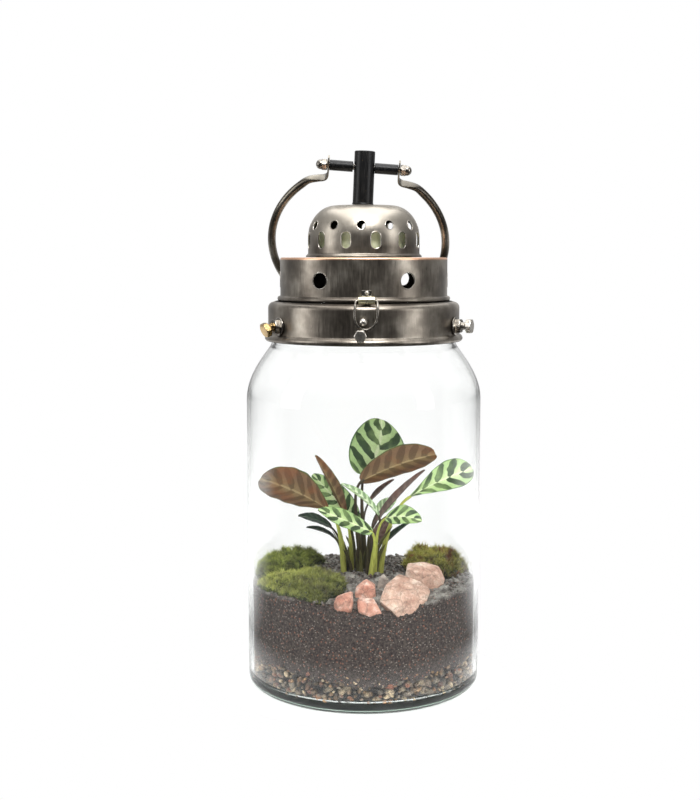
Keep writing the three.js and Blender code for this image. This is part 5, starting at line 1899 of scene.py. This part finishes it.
# ---------- set screws
@dataclass
class Screw:
    """A set screw of the collar, with or without a flange nut."""

    name: str
    azimuth: float
    z: float = 279.6
    shank: float = 3.0
    head_width: float = 10.0
    start: float = 70.0
    head: float = 83.0
    head_thick: float = 4.0
    knee: float = 79.6
    bend: float = 0.0
    flange: float = 6.9
    nut_high: float = 5.4
    nut: bool = True
    gilt: bool = False

    def screw(self) -> Skin:
        """The threaded shank and the head, whose part beyond the knee is turned down by the bend."""
        shank = threaded_bar(self.shank, 1.0, self.start, self.knee)
        outer = joined(
            [
                threaded_bar(self.shank, 1.0, self.knee - 0.6, self.head + 1),
                hex_block(self.head_width, self.head, self.head + self.head_thick),
            ]
        )
        drop = about_x(math.radians(self.bend))
        bent = outer.placed(None, (0, 0, -self.knee)).placed(drop, (0, 0, self.knee))
        return joined([shank, bent]).placed(basis(outward(self.azimuth)), (0, 0, self.z))

    def flange_nut(self, seat: float) -> Skin:
        """A hexagonal nut on a round flange, with its bore left open round the shank."""
        bore, flange, high = self.shank + GAP, self.flange, self.nut_high
        rim = [(bore, 0), (flange, 0), (flange, 0.8), (flange - 0.8, 1.4), (bore, 1.4)]
        ring = turned(eased(rim, 0.3, 3, True), 64, ring=True)
        heights = np.array([0.9, 1.2, 1.6, high - 1.2, high - 0.6, high])
        block = hex_ring(self.head_width, bore, heights, 1.2 * np.maximum(heights - high + 0.8, 0))
        out = outward(self.azimuth)
        return joined([ring, block]).placed(basis(out), out * seat + (0, 0, self.z))

    def build(self, finishes: Finishes, seat: float) -> None:
        """Makes the screw and its nut."""
        screw = object_of("clamp_screw_" + self.name, self.screw(), 30)
        finish = finishes.gilt_steel if self.gilt else finishes.steel
        dress(screw, [finish], ["set_screw_" + self.name])
        if self.nut:
            nut = object_of("clamp_nut_" + self.name, self.flange_nut(seat), 30)
            dress(nut, [finishes.dark_steel], ["flange_nut_" + self.name])


SCREWS = (
    Screw("left", -58, bend=24, gilt=True),
    Screw("right", 67.6),
    Screw("back_left", -128),
    Screw("back_right", 128),
    Screw("front", -1.6, z=275.2, shank=2.5, head_width=8, head=81.6, nut=False),
)


# ---------- post, rod and handle
@dataclass
class Carrier:
    """The black post, its cross rod and the carrying handle."""

    post_r: float = 7.8
    foot_x: float = -0.8
    lean: float = 2.35
    rod_r: float = 2.5
    rod_half: float = 34.0
    rod_z: float = 398.1
    roll: float = 4.3
    sleeve_r: float = 4.0
    sleeve_from: float = 8.3
    sleeve_to: float = 26.0
    tab_u: float = 26.9
    tab_thick: float = 1.2
    tab_half: float = 4.6
    tab_above: float = 7.3
    nut_width: float = 8.0
    nut_long: float = 4.2
    cap_r: float = 3.7
    cap_foot_r: float = 3.62
    washer_r: float = 3.9
    ring_r: float = 68.9
    ring_drop: float = 69.5
    ring_tube: float = 3.1
    back: float = 34.8

    def rod_basis(self, side: int = 1) -> Array:
        """Directions of a piece on the rod, whose own z axis points out to one side."""
        a = math.radians(self.roll)
        return basis(np.array([math.cos(a), 0, -math.sin(a)]) * side)

    def on_rod(self, skin: Skin, side: int = 1) -> Skin:
        """Puts a skin that is built along z about the origin onto the rod."""
        return skin.placed(self.rod_basis(side), (0, 0, self.rod_z))

    def post(self, finishes: Finishes) -> None:
        """Makes the post: a leaning bar with a soft top edge and a small fillet at its foot."""
        a = math.radians(self.lean)
        foot = DOME_TOP + GAP + self.post_r * math.sin(a)
        length = POST_TOP - foot - 0.35
        r = self.post_r
        profile = eased([(0, 0), (r + 0.7, 0), (r, 1.3), (r, length), (0, length)], 0.8, 5)
        skin = turned(profile, 96).placed(
            basis((math.sin(a), 0, math.cos(a)), (0, 1, 0)), (self.foot_x, 0, foot)
        )
        hole = self.on_rod(plug(self.rod_r + GAP, 12))
        made = drilled(object_of("lean_post", skin), [hole])
        dress(made, [finishes.enamel], ["post"])

    def rod(self, finishes: Finishes) -> None:
        """Makes the rod, its sleeves and its cap nuts."""
        rod = threaded_bar(self.rod_r, 0.8, -self.rod_half, self.rod_half)
        dress(
            object_of("threaded_cross_rod", self.on_rod(rod)), [finishes.steel], ["cross_rod"]
        )
        bore = self.rod_r + GAP
        low, high = self.sleeve_from, self.sleeve_to
        tube = eased([(bore, low), (self.sleeve_r, low), (self.sleeve_r, high), (bore, high)], 0.4, 4, True)
        start = self.tab_u + self.tab_thick / 2 + GAP
        hex_end = start + self.nut_long
        for side, word in ((-1, "left"), (1, "right")):
            sleeve = self.on_rod(turned(tube, 48, ring=True), side)
            dress(
                object_of("sleeve_" + word, sleeve), [finishes.enamel],
                ["rod_sleeve_" + word]
            )
            depth = self.rod_half + GAP
            cap = [(bore, start + 0.2), (bore, depth), (0, depth)]
            dome = arc((0, hex_end + 0.7), self.cap_r, 90, -12, 16)
            wall = [(self.cap_foot_r, start + 0.2)]
            shell = turned(np.concatenate([dome, wall, cap]), 48)
            w = self.washer_r
            collar = [(bore, start), (w, start), (w, start + 0.5), (bore, start + 0.5)]
            ring = turned(eased(collar, 0.15, 3, True), 48, ring=True)
            block = self.open_hex(bore, start + 0.4, hex_end)
            nut = self.on_rod(joined([shell, ring, block]), side)
            dress(
                object_of("acorn_nut_" + word, nut, 30), [finishes.dark_steel],
                ["cap_nut_" + word]
            )

    def open_hex(self, bore: float, low: float, high: float) -> Skin:
        """A hexagonal ring with chamfered corners round a bore."""
        heights = np.array([low, low + 0.3, low + 0.7, high - 0.7, high - 0.3, high])
        from_end = np.abs(heights - (low + high) / 2) - (high - low) / 2
        return hex_ring(self.nut_width, bore, heights, 1.1 * np.maximum(from_end + 0.6, 0))

    def half_line(self) -> Array:
        """Half of the handle's line, from a tab to the ring's foot, as distance across and below the rod."""
        u = self.tab_u
        tab = [
            (u, -self.tab_above), (u, -2), (u, 3), (u, 7.6), (u + 1.2, 10.3), (u + 3.8, 11.6),
            (u + 7.6, 12.3)
        ]
        a = np.radians(np.linspace(37, 180, 24))
        ring = np.stack([self.ring_r * np.sin(a), self.ring_drop - self.ring_r * np.cos(a)], -1)
        return spline(np.concatenate([tab, ring]), 6)

    def handle(self, finishes: Finishes) -> None:
        """Makes the handle.

        Formula: the section's half sizes go from the flat tab's to the round bar's along the line, and its
        outline goes from a box with soft corners, cos and sin to the power 0.3, to a circle.
        """
        half = self.half_line()
        line = np.concatenate([half[:-1] * (-1, 1), half[::-1]])
        path = np.stack([line[:, 0], np.zeros(len(line)), -line[:, 1]], -1)
        step = np.minimum(np.arange(len(line)), np.arange(len(line))[::-1]) / 6
        mix = np.clip((step - 5) / 3, 0, 1)[:, None]
        mix = mix**2 * (3 - 2 * mix)
        wide = self.tab_half + (self.ring_tube - self.tab_half) * mix
        thick = self.tab_thick / 2 + (self.ring_tube - self.tab_thick / 2) * mix
        a = (np.arange(32) + 0.5) * TURN / 32
        power = 0.3 + 0.7 * mix
        round_end = np.clip(1 - (step[:, None] / 0.9), 0, 1) ** 2
        c = np.sign(np.cos(a)) * np.abs(np.cos(a)) ** power
        s = np.sign(np.sin(a)) * np.abs(np.sin(a)) ** power
        section = np.stack([wide * (1 - 0.6 * round_end) * s, thick * c], -1)
        skin = swept(path, section, (0, 1, 0))
        made = object_of("bail_handle", skin, 45)
        bore = plug(self.rod_r + GAP, 3).placed(basis((1, 0, 0)))
        drilled(made, [bore.placed(None, (side * self.tab_u, 0, 0)) for side in (-1, 1)])
        lean = about_x(math.radians(self.back))
        r = math.radians(self.roll)
        roll = np.array([(math.cos(r), 0, math.sin(r)), (0, 1, 0), (-math.sin(r), 0, math.cos(r))])
        flat = np.empty(3 * len(made.data.vertices), np.float32)
        made.data.vertices.foreach_get("co", flat)
        moved = flat.reshape(-1, 3) @ (roll @ lean).T + (0, 0, self.rod_z * MM)
        made.data.vertices.foreach_set("co", moved.astype(np.float32).ravel())
        made.data.update()
        dress(made, [finishes.dark_rod], ["handle"], "handle")

    def build(self, finishes: Finishes) -> None:
        """Makes the post, the rod and the handle."""
        self.post(finishes)
        self.rod(finishes)
        self.handle(finishes)


# ---------- latch and hinge
@dataclass
class Latch:
    """The front latch: a brass barrel on a tongue, a wire loop, and the stud it hooks under."""

    x: float = 2.1
    barrel_y: float = -71.6
    barrel_z: float = 300.0
    barrel_r: float = 2.7
    barrel_wide: float = 12.0
    bore: float = 1.35
    wire: float = 0.9
    strip: float = 1.2
    tongue_wide: float = 7.0
    tongue_top: float = 307.0

    def barrel(self, width: float, at: float = 0) -> Skin:
        """A rolled barrel across the lid, with soft ends and an open bore."""
        half = width / 2
        profile = [(self.bore, -half), (self.barrel_r, -half), (self.barrel_r, half), (self.bore, half)]
        ring = turned(eased(profile, 0.45, 4, True), 48, ring=True)
        return ring.placed(basis((1, 0, 0)), (at, self.barrel_y, self.barrel_z))

    def tongue(self, width: float, top: float) -> Skin:
        """The strip behind the barrel: a side outline with soft corners, carried across its width."""
        back = Drum.radius + GAP
        front = back + self.strip
        low = DRUM_Z + 3.2 + GAP
        reach = -self.barrel_y - self.barrel_r + 0.6
        side = [
            (back, low + 0.6), (back + 2.6, low), (reach, low - 0.8), (reach, low + 1),
            (front + 1, low + 1.2), (front, low + 1.6), (front, top), (back, top),
        ]
        outline = eased(side, 0.4, 3, True)
        across = np.linspace(-width / 2, width / 2, 5)[:, None]
        shrink = np.array([0.25, 0, 0, 0, 0.25])[:, None]
        middle = outline.mean(0)
        y = -(outline[:, 0] + (middle[0] - outline[:, 0]) * shrink * 0.3)
        z = outline[:, 1] + (middle[1] - outline[:, 1]) * shrink * 0.15
        x = np.broadcast_to(across, y.shape)
        return tube_skin(np.stack([x, y, z], -1))

    def loop(self) -> Skin:
        """The wire: a round section along a smooth closed line from the barrel to under the stud."""
        offsets = (
            (0, 0, 0), (-5.4, 0, 0), (-7.6, 0.5, 0.8), (-8.3, 3.3, 5), (-8.5, 4.1, 11), (-7.4, 4.8, 16.2),
            (-3.8, 5.3, 19.8), (-0.8, 5.4, 20.6), (2.6, 5.3, 19.8), (6.2, 4.8, 16.2), (7.6, 4.1, 11),
            (7.9, 3.3, 5), (7.4, 0.5, 0.8), (5.4, 0, 0),
        )
        route = [(self.x + u, self.barrel_y - v, self.barrel_z - w) for u, v, w in offsets]
        return swept(spline(route, 10, True), circle(self.wire, 14), (0, 1, 0.2), closed=True)

    def stud(self) -> Skin:
        """The ball-headed stud with its neck and a small foot ring."""
        ball = arc((0, 78), 2.8, 90, -61, 24)
        neck = eased([(1.4, 75.6), (1.4, 74.5), (2.1, 74.1), (2.1, 73.5), (0, 73.5)], 0.3)
        skin = turned(np.concatenate([ball, neck]), 48)
        return skin.placed(basis(outward(0)), (-0.3, 0, 284.8))

    def rivet(self) -> Skin:
        """The round-headed rivet on the tongue."""
        dome = arc((0, -0.1), 1.85, 90, 4, 14)
        skin = turned(np.concatenate([dome, [(1.85, 0), (0, 0)]]), 40)
        return skin.placed(basis(outward(0)), (self.x + 0.2, -(Drum.radius + 2 * GAP + self.strip), 305))

    def build(self, finishes: Finishes) -> None:
        """Makes the latch."""
        plate = joined(
            [self.barrel(self.barrel_wide), self.tongue(self.tongue_wide, self.tongue_top).in_slot(1)]
        )
        made = object_of("latch_barrel_plate", plate.placed(None, (self.x, 0, 0)), 30)
        dress(made, [finishes.brass, finishes.dark_steel], ["latch_plate"])
        dress(
            object_of("latch_wire", self.loop()), [finishes.dark_steel], ["latch_loop"],
            "latch_loop"
        )
        dress(object_of("ball_stud", self.stud()), [finishes.steel], ["latch_stud"])
        dress(object_of("tongue_rivet", self.rivet()), [finishes.steel], ["latch_rivet"])


@dataclass
class BackHinge(Latch):
    """The lid's hinge at the back: a knuckle on the drum's leaf, two ears on the collar's leaf, and a pin."""

    knuckle: float = 6.0
    ear: float = 6.0
    bore: float = 1.6
    pin_r: float = 1.3
    pin_head: float = 2.2
    leaf_top: float = 309.0

    def build(self, finishes: Finishes) -> None:
        """Makes the hinge."""
        half_turn = np.diag([-1.0, -1.0, 1.0])
        drum_leaf = joined([self.barrel(self.knuckle), self.tongue(self.knuckle, self.leaf_top)])
        made = object_of("hinge_upper_leaf", drum_leaf.placed(half_turn), 30)
        dress(made, [finishes.pewter], ["hinge_drum_leaf"])
        wall, thick = Collar.radius + GAP, 1.6
        ear_at = (self.knuckle + self.ear) / 2 + GAP
        wide = 2 * ear_at + self.ear
        plate = self.slab(wide, thick, 6, (0, -wall - thick / 2, self.barrel_z - 8.8))
        ears = []
        for side in (-1, 1):
            ears.append(self.barrel(self.ear, side * ear_at))
            ears.append(
                self.slab(self.ear, thick, 7.4, (side * ear_at, -wall - thick / 2, self.barrel_z - 4.4))
            )
        made = object_of("hinge_lower_leaf", joined([plate, *ears]).placed(half_turn), 30)
        dress(made, [finishes.pewter], ["hinge_collar_leaf"])
        half = self.knuckle / 2 + GAP + self.ear
        near, far = half + 0.3, half + 1.3
        one_end = [(self.pin_r, near), (self.pin_head, near), (self.pin_head, far), (0, far)]
        profile = [(r, -z) for r, z in one_end[::-1]] + one_end
        pin = turned(eased(profile, 0.3), 40).placed(basis((1, 0, 0)), (0, -self.barrel_y, self.barrel_z))
        dress(object_of("hinge_pin_headed", pin, 30), [finishes.steel], ["hinge_pin"])

    def slab(self, wide: float, thick: float, high: float, middle: Sequence[float]) -> Skin:
        """A plate whose rounded outline is carried through its thickness and drawn in at both faces."""
        w, h = wide / 2, high / 2
        outline = eased([(-w, -h), (w, -h), (w, h), (-w, h)], 0.8, 4, True)
        depth = np.array([-0.5, -0.3, 0.3, 0.5]) * thick
        scale = np.array([0.96, 1, 1, 0.96])[:, None]
        x, z = outline[:, 0] * scale, outline[:, 1] * scale
        y = np.broadcast_to(depth[:, None], x.shape)
        return tube_skin(np.stack([x, y, z], -1)).placed(None, middle)


# ---------- studio
@dataclass
class Studio:
    """A white floor, soft boxes to both sides, in front and above, and the camera.

    Attributes:
        shadow_reach: from where to where the floor's shade fades out round the object, in metres.
        lift: how much of its white the floor keeps in that shade.
        glow: how much brighter white is seen through the glass, to make up for what the glass takes.
        boxes: each soft box's name, width and height, place and watts.
    """

    camera_at: tuple[float, float, float] = (0.0, -0.994, 0.3322)
    pitch: float = 6.40
    yaw: float = 0.606
    lens: float = 66.5
    sensor: float = 36.0
    shadow_reach: tuple[float, float] = (0.083, 0.115)
    lift: float = 0.35
    glow: float = 0.17
    aim: tuple[float, float, float] = (0, 0, 0.22)
    boxes: tuple[tuple[str, tuple[float, float], tuple[float, float, float], float], ...] = (
        ("left_box", (0.5, 0.9), (-1.2, -0.36, 0.55), 5.6),
        ("right_box", (0.4, 0.9), (1.1, -0.62, 0.55), 5.0),
        ("front_box", (0.8, 0.5), (0.1, -0.85, 1.35), 17),
        ("top_box", (1.5, 1.7), (0, 0.2, 1.5), 25),
    )

    def camera(self) -> None:
        """Places the camera: it looks slightly down, with the object a little right of the middle."""
        data = bpy.data.cameras.new("camera")
        data.sensor_fit = "HORIZONTAL"
        data.sensor_width = self.sensor
        data.lens = self.lens
        data.clip_start = 0.01
        made = bpy.data.objects.new("camera", data)
        made.location = self.camera_at
        made.rotation_euler = (math.radians(90 - self.pitch), 0, math.radians(self.yaw))
        bpy.context.scene.collection.objects.link(made)
        bpy.context.scene.camera = made

    def softbox(self, name: str, size: tuple[float, float], at: Sequence[float], watts: float) -> None:
        """Hangs an area light that points at the object's middle."""
        data = bpy.data.lights.new(name, "AREA")
        data.shape = "RECTANGLE"
        data.size, data.size_y = size
        data.energy = watts
        made = bpy.data.objects.new(name, data)
        turn = basis(np.subtract(at, self.aim))
        made.matrix_world = Matrix([(*turn[i], at[i]) for i in range(3)] + [(0, 0, 0, 1)])
        bpy.context.scene.collection.objects.link(made)

    def mirrored(self, s: Shading) -> bpy.types.Node:
        """Whether a ray has met a mirroring surface on its way from the eye: 1 or 0."""
        depth = s.add("LightPath").outputs["Glossy Depth"]
        return s.add("Math", depth, 1.0, operation="MINIMUM")

    def white(self, s: Shading, path: bpy.types.Node) -> bpy.types.Node:
        """The strength of white light: 1, and more by the glow for what is seen through the glass."""
        return s.add("Math", path.outputs["Is Transmission Ray"], self.glow, 1.0, operation="MULTIPLY_ADD")

    def floor(self) -> None:
        """Lays the floor: pale paper that turns white to the eye away from the object, as if evenly lit."""
        s = Shading("pale_paper_floor")
        away = s.add("VectorMath", s.place, operation="LENGTH").outputs["Value"]
        beyond = s.add("MapRange", away, 0.1, 0.2, 0.0, 1.0)
        along = s.add("SeparateXYZ", s.place).outputs["Y"]
        before = s.add("MapRange", along, 0.05, 0.3, 1.0, 0.0)
        darker = s.add("Math", beyond, before, operation="MULTIPLY")
        unlit = s.add("Math", darker, self.mirrored(s), operation="MULTIPLY")
        colour = s.add("Mix", {0: unlit, 6: linear("#f6f6f6"), 7: linear("#303030")}, data_type="RGBA")
        paper = s.add("BsdfPrincipled", {"Base Color": colour, "Roughness": 0.9})
        path = s.add("LightPath")
        lit = s.add("Emission", {"Color": (1.0, 1.0, 1.0, 1), "Strength": self.white(s, path)})
        near, far = self.shadow_reach
        fade = s.add("MapRange", away, near, far, self.lift, 1.0, interpolation_type="SMOOTHSTEP")
        camera, transmission = path.outputs["Is Camera Ray"], path.outputs["Is Transmission Ray"]
        seen = s.add("Math", camera, transmission, operation="MAXIMUM")
        direct = s.add("Math", 1.0, self.mirrored(s), operation="SUBTRACT")
        eye = s.add("Math", seen, direct, operation="MULTIPLY")
        share = s.add("Math", fade, eye, operation="MULTIPLY")
        finish = s.done(s.add("MixShader", share, paper, lit))
        size, level = 6000.0, -0.15
        points = np.array([(x * size, y * size, level) for x, y in ((-1, -1), (1, -1), (1, 1), (-1, 1))])
        made = object_of("floor_sheet", Skin(points, [np.array([[0, 1, 2, 3]])]), None)
        made.data.materials.append(finish)

    def world(self) -> None:
        """Sets the surroundings: white to the eye, and for reflections darker towards the camera's side."""
        s = Shading("studio", bpy.data.worlds)
        parts = s.add("SeparateXYZ", s.add("TexCoord").outputs["Generated"])
        depth = s.add("MapRange", parts.outputs["Y"], -1.0, 1.0, 0.0, 1.0)
        round_it = s.add("ValToRGB", depth, ramp=((0.45, "#3a3a3a"), (0.65, "#7a7a7a"), (0.9, "#d0d0d0")))
        above = s.add("MapRange", parts.outputs["Z"], 0.25, 0.7, 0.0, 1.0)
        room = s.add("Mix", {0: above, 6: round_it, 7: linear("#c8c8c8")}, data_type="RGBA")
        path = s.add("LightPath")
        both = s.add("Mix", {0: self.mirrored(s), 6: (1.0, 1.0, 1.0, 1), 7: room}, data_type="RGBA")
        diffuse = path.outputs["Is Diffuse Ray"]
        level = s.add("Math", diffuse, -0.42, self.white(s, path), operation="MULTIPLY_ADD")
        s.add("OutputWorld", s.add("Background", {"Color": both, "Strength": level}))
        bpy.context.scene.world = s.owner

    def build(self) -> None:
        """Sets up the studio."""
        view = bpy.context.scene.view_settings
        view.view_transform = "Standard"
        self.camera()
        self.floor()
        self.world()
        for box in self.boxes:
            self.softbox(*box)


# ---------- the object
def main() -> None:
    """Builds the object and the studio around it."""
    logging.basicConfig(level=logging.INFO, format="%(name)s: %(message)s")
    finishes = Finishes()
    Studio().build()
    Jar().build(finishes)
    Filling().build(finishes)
    Plant().build(finishes)
    collar = Collar()
    collar.build(finishes, SCREWS)
    for screw in SCREWS:
        screw.build(finishes, collar.radius + GAP)
    Drum().build(finishes)
    Dome().build(finishes)
    FrostedInsert().build(finishes)
    Carrier().build(finishes)
    Latch().build(finishes)
    BackHinge().build(finishes)


if __name__ == "__main__":
    main()
